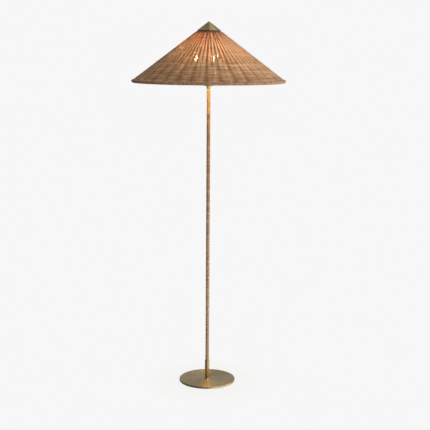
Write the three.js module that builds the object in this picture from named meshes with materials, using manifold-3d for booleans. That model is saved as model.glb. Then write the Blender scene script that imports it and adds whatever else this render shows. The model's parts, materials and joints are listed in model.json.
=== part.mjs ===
// Rattan floor lamp: a cane-wrapped stem on a round brass foot, and a woven conical shade over three bulbs.
// Millimetres, +Z up. The origin is on the floor, at the middle of the foot.
import * as THREE from "three";
import { mergeVertices } from "three/addons/utils/BufferGeometryUtils.js";
import Module from "manifold-3d";

const wasm = await Module();
wasm.setup();

// Whole lamp
const LAMP_HEIGHT = 1530; // floor to the tip of the cap
const SHADE_DIAMETER = 640; // over the rim binding
const CONE_ANGLE = 37.2; // degrees that the shade falls away from level
const BULB_COUNT = 3;
const FIRST_BRANCH_ANGLE = 46.5; // degrees from +X to the first bulb

// Clearances
const SEAT_GAP = 0.3; // between pieces that rest on or sit in each other
const CUT_OVERRUN = 2; // how far a cutter runs past the face that it cuts

// Foot
const FOOT_DIAMETER = 238;
const FOOT_EDGE_HEIGHT = 9.2; // floor to the top of the edge
const FOOT_CROWN = 3.8; // rise of the top from its edge to its middle
const FOOT_EDGE_ROUND = 2.5;
const COVER_WALL = 1.2;
const COVER_FLOOR_GAP = 1; // the cover's lower edge stays clear of the floor
const FELT_THICKNESS = 1.6;
const FELT_INSET = 8;
const WEIGHT_WEB = 3; // iron between the flange and the screw heads
const CHANNEL_MARGIN = 2; // room on each side of the flex in its channel

// Cord grommet at the back of the foot
const GROMMET_WIDTH = 11;
const GROMMET_HEIGHT = 6.2;
const GROMMET_WALL = 0.9;
const GROMMET_LENGTH = 8;
const GROMMET_PROUD = 1.2; // how far it stands out of the cover
const GROMMET_FLOOR_GAP = 1.1;

// Stem
const TUBE_BORE = 9.4;
const TUBE_WALL = 1.3;
const COLLAR_WALL = 3.5;
const COLLAR_HEIGHT = 77;
const COLLAR_ROUND = 1;
const CANE_THICKNESS = 1.7;
const CANE_WIDTH = 9; // one turn of the wrap
const CANE_GROOVE = 0.55; // depth of the groove between two turns
const FERRULE_WALL = 2.2;
const FERRULE_HEIGHT = 8;
const TACK_DIAMETER = 2.6;
const TACK_HEAD = 0.7;
const TACK_DROP = 22; // from the top of the wrap to the tack
const TACK_ANGLE = -65; // degrees from +X

// Flange and screws under the cover
const FLANGE_THICKNESS = 2.4;
const FLANGE_MARGIN = 2.4; // metal on each side of a screw head
const SCREW_DIAMETER = 4;
const SCREW_HEAD_DIAMETER = 7.4;
const SCREW_HEAD_HEIGHT = 2.2;
const SCREW_COUNT = 3;

// Leads
const FLEX_DIAMETER = 3.4;
const HOLDER_LEAD_DIAMETER = 2.6;

// Hub under the bulbs
const HUB_BELOW_RIM = 18; // hub's underside below the hoop in the rim
const HUB_ROUND = 4;
const HUB_WALL = 1.5;
const LID_SKIRT = 3; // lid's rim inside the bowl
const STEM_NUT_WALL = 2.2;
const STEM_NUT_HEIGHT = 3.2;
const CONNECTOR_HEIGHT = 5.5;
const CONNECTOR_MARGIN = 1.5; // block outside the leads' holes
const CONNECTOR_HEADROOM = 2.2; // from the block to the bowl's rim

// Rod that carries the shade
const ROD_DIAMETER = 6;
const ROD_NUT_WALL = 1.7;
const ROD_NUT_HEIGHT = 4;
const THREAD_SPARE = 1; // thread that shows past a nut

// Branches and lampholders
const BRANCH_TILT = 24; // degrees off plumb
const NIPPLE_DIAMETER = 8;
const NIPPLE_BORE = 5;
const NIPPLE_INSIDE = 3; // nipple below the lid, and inside the holder's base
const NIPPLE_MARGIN = 1.2; // lid left round a nipple's hole
const HOLDER_DIAMETER = 37;
const HOLDER_WALL = 0.9;
const HOLDER_LENGTH = 42;
const HOLDER_BASE = 2;
const HOLDER_BEAD = 0.9; // rolled edge at the mouth
const HOLDER_SPACING = 2.5; // least gap between two holders
const CORE_FLOOR = 5;
const CORE_RECESS = 1; // core's mouth below the shell's
const SLEEVE_WALL = 0.6;
const CONTACT_DIAMETER = 8;
const CONTACT_HEIGHT = 1.2;

// Bulbs
const BULB_DIAMETER = 60;
const BULB_LENGTH = 100;
const BULB_CAP_DIAMETER = 26.4;
const BULB_CAP_LENGTH = 26;
const BULB_CAP_WALL = 0.9;
const BULB_TIP_DIAMETER = 10;
const BULB_TIP_HEIGHT = 2.5;
const THREAD_DEPTH = 0.9;
const THREAD_RIDGES = 3;
const GLASS_WALL = 1;
const NECK_INSIDE = 5; // glass inside the metal cap
const NECK_OUTSIDE = 5; // straight neck above the cap
const GLASS_JOIN_ANGLE = -28; // degrees from level where the flare meets the round head
const FILAMENT_COUNT = 4;
const FILAMENT_LENGTH = 34;
const FILAMENT_DIAMETER = 1.8;
const FILAMENT_CIRCLE = 13;
const FILAMENT_STEM = 6;
const FILAMENT_PLATE = 1.2;

// Shade
const CAP_RADIUS = 50;
const CAP_WALL = 1;
const BOSS_WALL = 2.7;
const BOSS_ENGAGEMENT = 14; // rod inside the cap's boss
const STAKE_COUNT = 66;
const FIRST_STAKE_ANGLE = -86; // degrees from +X
const STAKE_WIDTH = 3.2;
const STAKE_RIDGE = 1.2; // how far a stake stands out of the weave
const WEAVE_THICKNESS = 3;
const WEAVE_TOP_MARGIN = 3; // weave that reaches in past the spider's ring
const SPIDER_RING_RADIUS = 41;
const SPIDER_WIRE = 4;
const SPIDER_ARM = 3.4;
const SPIDER_DROP = 7; // spider's hub below its ring
const SPIDER_ARMS = 3;
const SPIDER_HUB_THICKNESS = 3;
const WASHER_RIM = 3.7;
const WASHER_THICKNESS = 1;
const HOOP_WIRE = 4; // the hoop lies under the weave's edge
const BINDING_WALL = 1.6;
const BINDING_LIP = 5; // how far the binding reaches up the weave past the hoop
const BINDING_HOOK = 30; // degrees that the binding turns back round the hoop to the weave

// How finely round forms are cut
const FOOT_SIDES = 40;
const RIM_SIDES = 64;
const CAP_SIDES = 36;
const RING_SIDES = 24;
const HUB_SIDES = 20;
const TURNED_SIDES = 16;
const SMALL_SIDES = 12;
const WIRE_SIDES = 8;
const THIN_SIDES = 6;
const RINGS_PER_TURN = 2;
const TURNS_PER_BORE_RING = 5;

const radians = THREE.MathUtils.degToRad;
const coneAngle = radians(CONE_ANGLE);
const tilt = radians(BRANCH_TILT);

// Shapes

function solidOf(geometry) {
  const bare = geometry.clone();
  bare.deleteAttribute("normal");
  bare.deleteAttribute("uv");
  const merged = mergeVertices(bare.index ? bare.toNonIndexed() : bare);
  return new wasm.Manifold(
    new wasm.Mesh({
      numProp: 3,
      vertProperties: new Float32Array(merged.attributes.position.array),
      triVerts: new Uint32Array(merged.index.array),
    }),
  );
}

function geometryOf(solid) {
  const mesh = solid.getMesh();
  const geometry = new THREE.BufferGeometry();
  geometry.setAttribute("position", new THREE.BufferAttribute(mesh.vertProperties, 3));
  geometry.setIndex(new THREE.BufferAttribute(mesh.triVerts, 1));
  geometry.computeVertexNormals();
  return geometry;
}

function cut(geometry, ...cutters) {
  const whole = solidOf(geometry);
  return geometryOf(cutters.reduce((left, cutter) => left.subtract(solidOf(cutter)), whole));
}

function join(...geometries) {
  return geometryOf(geometries.map(solidOf).reduce((whole, piece) => whole.add(piece)));
}

const point = (radius, height) => new THREE.Vector2(radius, height);

// Points of a round stretch of an outline, from one angle to another, in degrees.
function arc(centre, radius, from, to, steps) {
  return Array.from({ length: steps + 1 }, (_, i) => {
    const angle = radians(from + ((to - from) * i) / steps);
    return point(centre.x + radius * Math.cos(angle), centre.y + radius * Math.sin(angle));
  });
}

function circle(centre, radius, sides) {
  return arc(centre, radius, 0, 360, sides).slice(1);
}

// A turned solid about +Z from its half outline, given either way round.
function turned(outline, sides = TURNED_SIDES) {
  const points = [...outline, outline[0]];
  if (THREE.ShapeUtils.area(points) < 0) points.reverse();
  return new THREE.LatheGeometry(points, sides).rotateX(Math.PI / 2);
}

// A pipe about +Z between two heights.
function pipe(outer, inner, low, high, sides = SMALL_SIDES) {
  const outline = [point(inner, low), point(outer, low), point(outer, high), point(inner, high)];
  return turned(outline, sides);
}

function rod(radius, low, high, sides = SMALL_SIDES) {
  return new THREE.CylinderGeometry(radius, radius, high - low, sides)
    .rotateX(Math.PI / 2)
    .translate(0, 0, (low + high) / 2);
}

function box(width, depth, low, high) {
  return new THREE.BoxGeometry(width, depth, high - low).translate(0, 0, (low + high) / 2);
}

// A hexagonal nut about +Z, given its corner radius.
function nut(corner, holeRadius, low, high) {
  const blank = rod(corner, low, high, 6);
  return cut(blank, rod(holeRadius, low - CUT_OVERRUN, high + CUT_OVERRUN));
}

const hexCorner = (flatRadius) => flatRadius / Math.cos(Math.PI / 6);

// A round bar from one point to another.
function bar(from, to, radius, sides = WIRE_SIDES) {
  const along = new THREE.Vector3().subVectors(to, from);
  const up = new THREE.Vector3(0, 0, 1);
  const turn = new THREE.Quaternion().setFromUnitVectors(up, along.clone().normalize());
  return rod(radius, 0, along.length(), sides)
    .applyQuaternion(turn)
    .translate(from.x, from.y, from.z);
}

// A path whose even steps fall on the points given.
class SteppedPath extends THREE.Curve {
  constructor(points) {
    super();
    this.points = points;
  }

  getUtoTmapping(share) {
    return share;
  }

  getPoint(share) {
    const step = THREE.MathUtils.clamp(share, 0, 1) * (this.points.length - 1);
    const before = Math.min(Math.floor(step), this.points.length - 2);
    return this.points[before].clone().lerp(this.points[before + 1], step - before);
  }
}

function tubeAlong(points, radius, sides = WIRE_SIDES) {
  return new THREE.ExtrudeGeometry(new THREE.Shape(circle(point(0, 0), radius, sides)), {
    extrudePath: new SteppedPath(points),
    steps: points.length - 1,
  });
}

// A mesh from points and faces, turned so that its faces point out.
function facing(positions, faces) {
  const corner = (i) => new THREE.Vector3().fromArray(positions, 3 * i);
  let volume = 0;
  for (let i = 0; i < faces.length; i += 3) {
    const [a, b, c] = faces.slice(i, i + 3).map(corner);
    volume += a.dot(b.cross(c));
  }
  const geometry = new THREE.BufferGeometry();
  geometry.setAttribute("position", new THREE.Float32BufferAttribute(positions, 3));
  geometry.setIndex(volume < 0 ? faces.reverse() : faces);
  geometry.computeVertexNormals();
  return geometry;
}

// Closes rings of points into one solid whose last ring meets its first.
function closedSkin(positions, rings, sides) {
  const faces = [];
  for (let i = 0; i < rings; i++) {
    const low = i * sides;
    const high = ((i + 1) % rings) * sides;
    for (let k = 0; k < sides; k++) {
      const next = (k + 1) % sides;
      faces.push(low + k, low + next, high + next);
      faces.push(low + k, high + next, high + k);
    }
  }
  return facing(positions, faces);
}

// Materials

const finish = (color, roughness, metalness = 0, more = {}) =>
  new THREE.MeshStandardMaterial({ color, roughness, metalness, ...more });

const brass = finish(0x9b8558, 0.35, 1);
const steel = finish(0xa7a9ab, 0.4, 1);
const iron = finish(0x3b3b3d, 0.7, 1);
const rattan = finish(0x9a6640, 0.6);
const cane = finish(0xa3744c, 0.5);
const felt = finish(0x4a443c, 0.95);
const rubber = finish(0x2a2826, 0.8);
const ceramic = finish(0xe9e4da, 0.4);
const plastic = finish(0xd8d2c4, 0.5);
const glass = finish(0xfff3dd, 0.1, 0, { transparent: true, opacity: 0.35 });
const filament = finish(0xffc36a, 0.5, 0, { emissive: 0xffb050 });

const lamp = new THREE.Group();

function add(name, geometry, material, parent = lamp) {
  const mesh = new THREE.Mesh(geometry, material);
  mesh.name = name;
  parent.add(mesh);
}

// Foot and stem levels that pieces share

const footRadius = FOOT_DIAMETER / 2;
const footTop = FOOT_EDGE_HEIGHT + FOOT_CROWN;
const boreRadius = TUBE_BORE / 2;
const tubeRadius = boreRadius + TUBE_WALL;
const tubeFit = tubeRadius + SEAT_GAP; // hole that the tube passes through
const flexRadius = FLEX_DIAMETER / 2;

const flangeTop = footTop - COVER_WALL - SEAT_GAP;
const flangeBottom = flangeTop - FLANGE_THICKNESS;
const webTop = flangeBottom - SEAT_GAP;
const webBottom = webTop - WEIGHT_WEB;
const flexHeight = (webBottom + FELT_THICKNESS) / 2;
const flexBend = flangeBottom - flexHeight;
const leadHoleRadius = flexBend + FLEX_DIAMETER;
const screwHeadRadius = SCREW_HEAD_DIAMETER / 2;
const screwCircle = leadHoleRadius + FLANGE_MARGIN + screwHeadRadius;
const flangeRadius = screwCircle + screwHeadRadius + FLANGE_MARGIN;
const footFlatRadius = flangeRadius + FLANGE_MARGIN; // level middle of the foot

const grommetTop = GROMMET_FLOOR_GAP + GROMMET_HEIGHT;
const grommetOuter = footRadius + GROMMET_PROUD;
const grommetInner = grommetOuter - GROMMET_LENGTH;

const collarBottom = footTop + SEAT_GAP;
const collarTop = collarBottom + COLLAR_HEIGHT;
const wrapBottom = collarTop + SEAT_GAP;
const wrapRadius = tubeFit + CANE_THICKNESS;

// Shade levels: "down" runs from the tip along the outside of the cap, and "under" is square to it, inwards

const slopePoint = (down, under) =>
  point(
    down * Math.cos(coneAngle) - under * Math.sin(coneAngle),
    LAMP_HEIGHT - down * Math.sin(coneAngle) - under * Math.cos(coneAngle),
  );
const downAt = (radius, under) => (radius + under * Math.sin(coneAngle)) / Math.cos(coneAngle);

const weaveCrest = CAP_WALL + SEAT_GAP;
const weaveOuter = weaveCrest + STAKE_RIDGE;
const weaveInner = weaveOuter + WEAVE_THICKNESS;
const hoopRadius = HOOP_WIRE / 2;
const hoopUnder = weaveInner + SEAT_GAP + hoopRadius;
const bindingInside = hoopRadius + SEAT_GAP;
const bindingOutside = bindingInside + BINDING_WALL;
const bendUnder = weaveCrest - SEAT_GAP + bindingInside; // middle of the binding's bend round the weave's edge
const hoopDown = downAt(SHADE_DIAMETER / 2 - bindingOutside, bendUnder);
const bendCentre = slopePoint(hoopDown, bendUnder);
const hoopCentre = slopePoint(hoopDown, hoopUnder);

// Hub levels

const rodRadius = ROD_DIAMETER / 2;
const rodFit = rodRadius + SEAT_GAP; // hole that the rod passes through
const rodNutCorner = hexCorner(rodFit + ROD_NUT_WALL);
const stemNutCorner = hexCorner(tubeFit + STEM_NUT_WALL);
const nippleRadius = NIPPLE_DIAMETER / 2;
const nippleAcross = nippleRadius / Math.cos(tilt); // nipple's half width in the level plane
const lidFlatRadius = rodNutCorner + SEAT_GAP;
const crossingRadius = lidFlatRadius + NIPPLE_MARGIN + nippleAcross;
const hubRadius = crossingRadius + nippleAcross + NIPPLE_MARGIN + HUB_WALL;

const hubBottom = hoopCentre.y - HUB_BELOW_RIM;
const stemNutBottom = hubBottom + HUB_WALL + SEAT_GAP;
const tubeTop = stemNutBottom + STEM_NUT_HEIGHT + THREAD_SPARE;
const connectorBottom = tubeTop + SEAT_GAP;
const connectorTop = connectorBottom + CONNECTOR_HEIGHT;
const bowlTop = connectorTop + CONNECTOR_HEADROOM;
const lidEdge = bowlTop + SEAT_GAP;
const lidHeightAt = (radius) => lidEdge + HUB_WALL + (hubRadius - radius) * Math.tan(tilt);
const lidTop = lidHeightAt(lidFlatRadius);
const branchOrigin = lidHeightAt(crossingRadius) - crossingRadius / Math.tan(tilt);
const lidCrossing = crossingRadius / Math.sin(tilt); // from the branch's origin along the branch
const leadRadius = HOLDER_LEAD_DIAMETER / 2;
const leadStart = (connectorTop + SEAT_GAP - branchOrigin) / Math.cos(tilt) + leadRadius * Math.tan(tilt);
const connectorRadius = leadStart * Math.sin(tilt) + leadRadius + CONNECTOR_MARGIN;

const ferruleTop = hubBottom - SEAT_GAP;
const ferruleBottom = ferruleTop - FERRULE_HEIGHT;
const wrapTop = ferruleBottom - SEAT_GAP;

// Branch levels, from the branch's origin along the branch

const holderRadius = HOLDER_DIAMETER / 2;
const holderReach = holderRadius / Math.sin(Math.PI / BULB_COUNT) + HOLDER_SPACING;
const holderStart = holderReach / Math.sin(tilt);
const holderMouth = holderStart + HOLDER_LENGTH;
const nippleTop = holderStart + HOLDER_BASE + NIPPLE_INSIDE;
const coreBottom = nippleTop + SEAT_GAP;
const coreFloor = coreBottom + CORE_FLOOR;
const coreTop = holderMouth - CORE_RECESS;
const contactBottom = coreFloor + SEAT_GAP;
const bulbStart = contactBottom + CONTACT_HEIGHT + SEAT_GAP;
const bulbTipTop = bulbStart + BULB_TIP_HEIGHT;
const bulbCapTop = bulbStart + BULB_CAP_LENGTH;
const threadPitch = (bulbCapTop - bulbTipTop) / (THREAD_RIDGES + 1);
const bulbCapFloor = bulbTipTop + threadPitch;
const bulbCentre = bulbStart + BULB_LENGTH - BULB_DIAMETER / 2;
const bulbCapRadius = BULB_CAP_DIAMETER / 2;
const sleeveInside = bulbCapRadius + SEAT_GAP;
const sleeveOutside = sleeveInside + SLEEVE_WALL;

// Spider and cap levels

const washerRadius = rodFit + WASHER_RIM;
const bossRadius = rodFit + BOSS_WALL;
const ringUnder = weaveInner + SEAT_GAP + SPIDER_WIRE / 2;
const ringCentre = slopePoint(downAt(SPIDER_RING_RADIUS, ringUnder), ringUnder);
const spiderHubTop = ringCentre.y - SPIDER_DROP;
const spiderHubBottom = spiderHubTop - SPIDER_HUB_THICKNESS;
const washerBottom = spiderHubTop + SEAT_GAP;
const bossBottom = washerBottom + WASHER_THICKNESS + SEAT_GAP;
const rodTop = bossBottom + BOSS_ENGAGEMENT;

// Foot

// The foot's outside, or the same line further in, from the lower edge to the level middle.
function footOutline(inset, bottom) {
  const radius = footRadius - inset;
  const round = FOOT_EDGE_ROUND - inset;
  const corner = point(radius - round, FOOT_EDGE_HEIGHT - inset - round);
  return [point(radius, bottom), ...arc(corner, round, 0, 90, 3), point(footFlatRadius, footTop - inset)];
}

function baseCover() {
  const shell = turned(
    [
      ...footOutline(0, COVER_FLOOR_GAP),
      point(tubeFit, footTop),
      point(tubeFit, footTop - COVER_WALL),
      ...footOutline(COVER_WALL, COVER_FLOOR_GAP).reverse(),
    ],
    FOOT_SIDES,
  );
  return cut(shell, grommetPocket());
}

// The space that the grommet takes in the cover and in the weight.
function grommetPocket() {
  const inner = grommetInner - SEAT_GAP;
  const outer = grommetOuter + CUT_OVERRUN;
  const width = GROMMET_WIDTH + 2 * SEAT_GAP;
  return box(width, outer - inner, -CUT_OVERRUN, grommetTop + SEAT_GAP).translate(0, (inner + outer) / 2, 0);
}

function screwPlaces() {
  return Array.from({ length: SCREW_COUNT }, (_, i) => {
    const angle = (2 * Math.PI * i) / SCREW_COUNT - Math.PI / 2;
    return point(screwCircle * Math.cos(angle), screwCircle * Math.sin(angle));
  });
}

function screwHoles(low, high) {
  const hole = rod(SCREW_DIAMETER / 2 + SEAT_GAP, low - CUT_OVERRUN, high + CUT_OVERRUN);
  return screwPlaces().map((place) => hole.clone().translate(place.x, place.y, 0));
}

function baseWeight() {
  const inset = COVER_WALL + SEAT_GAP;
  const pocketRadius = flangeRadius + SEAT_GAP;
  const slab = turned(
    [
      ...footOutline(inset, FELT_THICKNESS),
      point(pocketRadius, footTop - inset),
      point(pocketRadius, webTop),
      point(leadHoleRadius, webTop),
      point(leadHoleRadius, webBottom),
      point(pocketRadius, webBottom),
      point(pocketRadius, FELT_THICKNESS),
    ],
    FOOT_SIDES,
  );
  const channelStart = pocketRadius - CUT_OVERRUN;
  const channelLength = footRadius - channelStart;
  const channelWidth = FLEX_DIAMETER + 2 * CHANNEL_MARGIN;
  const channel = box(channelWidth, channelLength, FELT_THICKNESS - CUT_OVERRUN, webBottom);
  channel.translate(0, channelStart + channelLength / 2, 0);
  return cut(slab, channel, grommetPocket(), ...screwHoles(webBottom, webTop));
}

function baseFelt() {
  return rod(footRadius - FELT_INSET, 0, FELT_THICKNESS, FOOT_SIDES);
}

function cordGrommet() {
  const body = box(GROMMET_WIDTH, GROMMET_LENGTH, GROMMET_FLOOR_GAP, grommetTop);
  const slot = box(
    GROMMET_WIDTH - 2 * GROMMET_WALL,
    GROMMET_LENGTH + 2 * CUT_OVERRUN,
    GROMMET_FLOOR_GAP + GROMMET_WALL,
    grommetTop - GROMMET_WALL,
  );
  return cut(body, slot).translate(0, (grommetInner + grommetOuter) / 2, 0);
}

function stemFlange() {
  const plate = pipe(flangeRadius, tubeFit, flangeBottom, flangeTop, TURNED_SIDES);
  return cut(plate, ...screwHoles(flangeBottom, flangeTop));
}

function flangeScrew(place) {
  const headTop = webBottom - SEAT_GAP;
  const headBottom = headTop - SCREW_HEAD_HEIGHT;
  const shank = SCREW_DIAMETER / 2;
  const tip = flangeTop - SEAT_GAP;
  return turned(
    [
      point(0, headBottom),
      point(screwHeadRadius, headBottom),
      point(screwHeadRadius, headTop),
      point(shank, headTop),
      point(shank, tip),
      point(0, tip),
    ],
    SMALL_SIDES,
  ).translate(place.x, place.y, 0);
}

// Stem

function stemCollar() {
  const outside = tubeFit + COLLAR_WALL;
  const corner = point(outside - COLLAR_ROUND, collarTop - COLLAR_ROUND);
  return turned([
    point(tubeFit, collarBottom),
    point(outside, collarBottom),
    ...arc(corner, COLLAR_ROUND, 0, 90, 2),
    point(tubeFit, collarTop),
  ]);
}

// The cane is wound in one unbroken helix whose turns touch: each turn is a crown between two grooves.
function stemWrap() {
  const turns = Math.round((wrapTop - wrapBottom) / CANE_WIDTH);
  const last = turns * RINGS_PER_TURN;
  const boreStep = TURNS_PER_BORE_RING * RINGS_PER_TURN;
  const boreCorner = tubeFit / Math.cos(Math.PI / WIRE_SIDES);
  const positions = [];
  const addRing = (i, radiusAt) => {
    const height = wrapBottom + ((wrapTop - wrapBottom) * i) / last;
    for (let k = 0; k < WIRE_SIDES; k++) {
      const angle = (2 * Math.PI * k) / WIRE_SIDES;
      positions.push(radiusAt(k) * Math.cos(angle), radiusAt(k) * Math.sin(angle), height);
    }
  };
  const groove = (i, k) => {
    if (i === 0 || i === last) return CANE_GROOVE;
    const turn = i / RINGS_PER_TURN - k / WIRE_SIDES;
    return CANE_GROOVE * Math.cos(Math.PI * turn) ** 2;
  };
  for (let i = 0; i <= last; i++) addRing(i, (k) => wrapRadius - groove(i, k));
  for (let i = last; i > 0; i -= boreStep) addRing(i, () => boreCorner);
  addRing(0, () => boreCorner);
  return closedSkin(positions, positions.length / 3 / WIRE_SIDES, WIRE_SIDES);
}

function wrapTack() {
  return rod(TACK_DIAMETER / 2, 0, TACK_HEAD, WIRE_SIDES)
    .rotateY(Math.PI / 2)
    .translate(wrapRadius + SEAT_GAP, 0, wrapTop - TACK_DROP)
    .rotateZ(radians(TACK_ANGLE));
}

// From the grommet along the channel under the weight, round the bend and up the tube to the connector.
function stemFlex() {
  const bend = arc(point(flexBend, flexHeight + flexBend), flexBend, 270, 180, 4);
  const path = [
    point(grommetInner - SEAT_GAP, flexHeight),
    ...bend,
    point(0, connectorBottom - SEAT_GAP),
  ];
  return tubeAlong(
    path.map((place) => new THREE.Vector3(0, place.x, place.y)),
    flexRadius,
  );
}

// Hub

function hubBowl() {
  const corner = point(hubRadius - HUB_ROUND, hubBottom + HUB_ROUND);
  const wall = (inset) => [...arc(corner, HUB_ROUND - inset, 270, 360, 3), point(hubRadius - inset, bowlTop)];
  return turned(
    [
      point(tubeFit, hubBottom),
      ...wall(0),
      ...wall(HUB_WALL).reverse(),
      point(tubeFit, hubBottom + HUB_WALL),
    ],
    HUB_SIDES,
  );
}

// The lid is a shallow cone that the branches leave squarely, with a rim that screws into the bowl.
function hubLid() {
  const skirtOutside = hubRadius - HUB_WALL - SEAT_GAP;
  const skirtInside = skirtOutside - HUB_WALL;
  const skirtBottom = lidEdge - LID_SKIRT;
  const lid = turned(
    [
      point(rodFit, lidTop),
      point(lidFlatRadius, lidTop),
      point(hubRadius, lidEdge + HUB_WALL),
      point(hubRadius, lidEdge),
      point(skirtOutside, lidEdge),
      point(skirtOutside, skirtBottom),
      point(skirtInside, skirtBottom),
      point(skirtInside, lidHeightAt(skirtInside) - HUB_WALL),
      point(lidFlatRadius, lidTop - HUB_WALL),
      point(rodFit, lidTop - HUB_WALL),
    ],
    HUB_SIDES,
  );
  const hole = rod(nippleRadius + SEAT_GAP, lidCrossing - NIPPLE_INSIDE, lidCrossing + NIPPLE_INSIDE);
  hole.rotateY(tilt);
  return cut(lid, ...branchAngles.map((angle) => hole.clone().rotateZ(angle).translate(0, 0, branchOrigin)));
}

function rodNut(low) {
  return nut(rodNutCorner, rodFit, low, low + ROD_NUT_HEIGHT);
}

// Branches and lampholders

const branchAngles = Array.from(
  { length: BULB_COUNT },
  (_, i) => radians(FIRST_BRANCH_ANGLE) + (2 * Math.PI * i) / BULB_COUNT,
);

function branchNipple() {
  return pipe(nippleRadius, NIPPLE_BORE / 2, lidCrossing - NIPPLE_INSIDE, nippleTop);
}

function holderShell() {
  const hole = nippleRadius + SEAT_GAP;
  const inside = holderRadius - HOLDER_WALL;
  const baseTop = holderStart + HOLDER_BASE;
  return turned(
    [
      point(hole, holderStart),
      ...arc(point(holderRadius - HOLDER_BASE, baseTop), HOLDER_BASE, 270, 360, 2),
      point(holderRadius, holderMouth - 2 * HOLDER_BEAD),
      point(holderRadius + HOLDER_BEAD, holderMouth - HOLDER_BEAD),
      point(holderRadius, holderMouth),
      point(inside, holderMouth),
      point(inside, baseTop),
      point(hole, baseTop),
    ],
    SMALL_SIDES,
  );
}

function holderCore() {
  const outside = holderRadius - HOLDER_WALL - SEAT_GAP;
  const inside = sleeveOutside + SEAT_GAP;
  return turned(
    [
      point(0, coreBottom),
      point(outside, coreBottom),
      point(outside, coreTop),
      point(inside, coreTop),
      point(inside, coreFloor),
      point(0, coreFloor),
    ],
    SMALL_SIDES,
  );
}

// Bulbs

function bulbCap() {
  const tip = BULB_TIP_DIAMETER / 2;
  const root = bulbCapRadius - THREAD_DEPTH;
  const inside = root - BULB_CAP_WALL;
  const thread = Array.from({ length: THREAD_RIDGES }, (_, i) => [
    point(root, bulbTipTop + threadPitch * (i + 0.5)),
    point(bulbCapRadius, bulbTipTop + threadPitch * (i + 1)),
  ]).flat();
  return turned(
    [
      point(0, bulbStart),
      point(tip, bulbStart),
      point(tip, bulbTipTop),
      ...thread,
      point(root, bulbCapTop),
      point(inside, bulbCapTop),
      point(inside, bulbCapFloor),
      point(0, bulbCapFloor),
    ],
    SMALL_SIDES,
  );
}

// Half outline of the glass: a straight neck, a flare and a round head.
function glassOutline(inset) {
  const neck = bulbCapRadius - THREAD_DEPTH - BULB_CAP_WALL - SEAT_GAP - inset;
  const head = BULB_DIAMETER / 2 - inset;
  const dome = arc(point(0, bulbCentre), head, GLASS_JOIN_ANGLE, 90, 6);
  const neckTop = point(neck, bulbCapTop + NECK_OUTSIDE);
  const reach = (dome[0].y - neckTop.y) / 2;
  const joinAngle = radians(GLASS_JOIN_ANGLE);
  const flare = new THREE.CubicBezierCurve(
    neckTop,
    point(neck, neckTop.y + reach),
    point(dome[0].x + reach * Math.sin(joinAngle), dome[0].y - reach * Math.cos(joinAngle)),
    dome[0],
  );
  dome[dome.length - 1].x = 0;
  return [point(neck, bulbCapTop - NECK_INSIDE), ...flare.getPoints(3), ...dome.slice(1)];
}

function bulbGlass() {
  return turned([...glassOutline(0), ...glassOutline(GLASS_WALL).reverse()], SMALL_SIDES);
}

function bulbFilament() {
  const circleRadius = FILAMENT_CIRCLE / 2;
  const low = bulbCentre - FILAMENT_LENGTH / 2;
  const high = bulbCentre + FILAMENT_LENGTH / 2;
  const half = FILAMENT_PLATE / 2;
  const stem = rod(FILAMENT_STEM / 2, bulbCapFloor + SEAT_GAP, low + half, WIRE_SIDES);
  const plateRadius = circleRadius + FILAMENT_DIAMETER;
  const plates = [low, high].map((height) => rod(plateRadius, height, height + FILAMENT_PLATE, WIRE_SIDES));
  const strand = rod(FILAMENT_DIAMETER / 2, low + half, high + half, THIN_SIDES);
  strand.translate(circleRadius, 0, 0);
  const strands = Array.from({ length: FILAMENT_COUNT }, (_, i) =>
    strand.clone().rotateZ((2 * Math.PI * (i + 0.5)) / FILAMENT_COUNT),
  );
  return join(stem, ...plates, ...strands);
}

// Shade

// The weave is a conical shell with one straight ridge over each stake.
function shadeWeave() {
  const positions = [];
  const place = (down, under, angle) => {
    const at = slopePoint(down, under);
    positions.push(at.x * Math.cos(angle), at.x * Math.sin(angle), at.y);
  };
  const topRadius = SPIDER_RING_RADIUS - SPIDER_WIRE / 2 - WEAVE_TOP_MARGIN;
  const downTop = downAt(topRadius, weaveOuter);
  for (const down of [downTop, hoopDown]) {
    const half = STAKE_WIDTH / 2 / slopePoint(down, weaveOuter).x;
    for (let i = 0; i < STAKE_COUNT; i++) {
      const angle = radians(FIRST_STAKE_ANGLE) + (2 * Math.PI * i) / STAKE_COUNT;
      place(down, weaveOuter, angle - half);
      place(down, weaveCrest, angle);
      place(down, weaveOuter, angle + half);
      place(down, weaveInner, angle);
    }
  }
  const lower = positions.length / 6; // points in one ring
  const faces = [];
  const quad = (a, b, c, d) => faces.push(a, b, c, a, c, d);
  for (let i = 0; i < STAKE_COUNT; i++) {
    const [left, crest, right, inner] = [0, 1, 2, 3].map((k) => 4 * i + k);
    const after = 4 * ((i + 1) % STAKE_COUNT);
    const wall = (a, b) => quad(a, lower + a, lower + b, b);
    wall(left, crest);
    wall(crest, right);
    wall(right, after);
    wall(after + 3, inner);
    quad(left, crest, right, inner);
    quad(right, after, after + 3, inner);
    quad(lower + inner, lower + right, lower + crest, lower + left);
    quad(lower + inner, lower + after + 3, lower + after, lower + right);
  }
  return facing(positions, faces);
}

function shadeHoop() {
  return turned(circle(hoopCentre, hoopRadius, THIN_SIDES), RIM_SIDES);
}

// The binding is a channel: down over the weave's edge, round the hoop under it and back up to the weave.
function rimBinding() {
  const lip = hoopDown - BINDING_LIP;
  const square = 90 - CONE_ANGLE;
  const outward = square - 90;
  const inward = square - 180;
  const wall = (radius) => [
    slopePoint(lip, bendUnder - radius),
    ...arc(bendCentre, radius, square, outward, 2),
    ...arc(hoopCentre, radius, outward, inward - 90 - BINDING_HOOK, 4),
  ];
  return turned([...wall(bindingOutside), ...wall(bindingInside).reverse()], RIM_SIDES);
}

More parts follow.
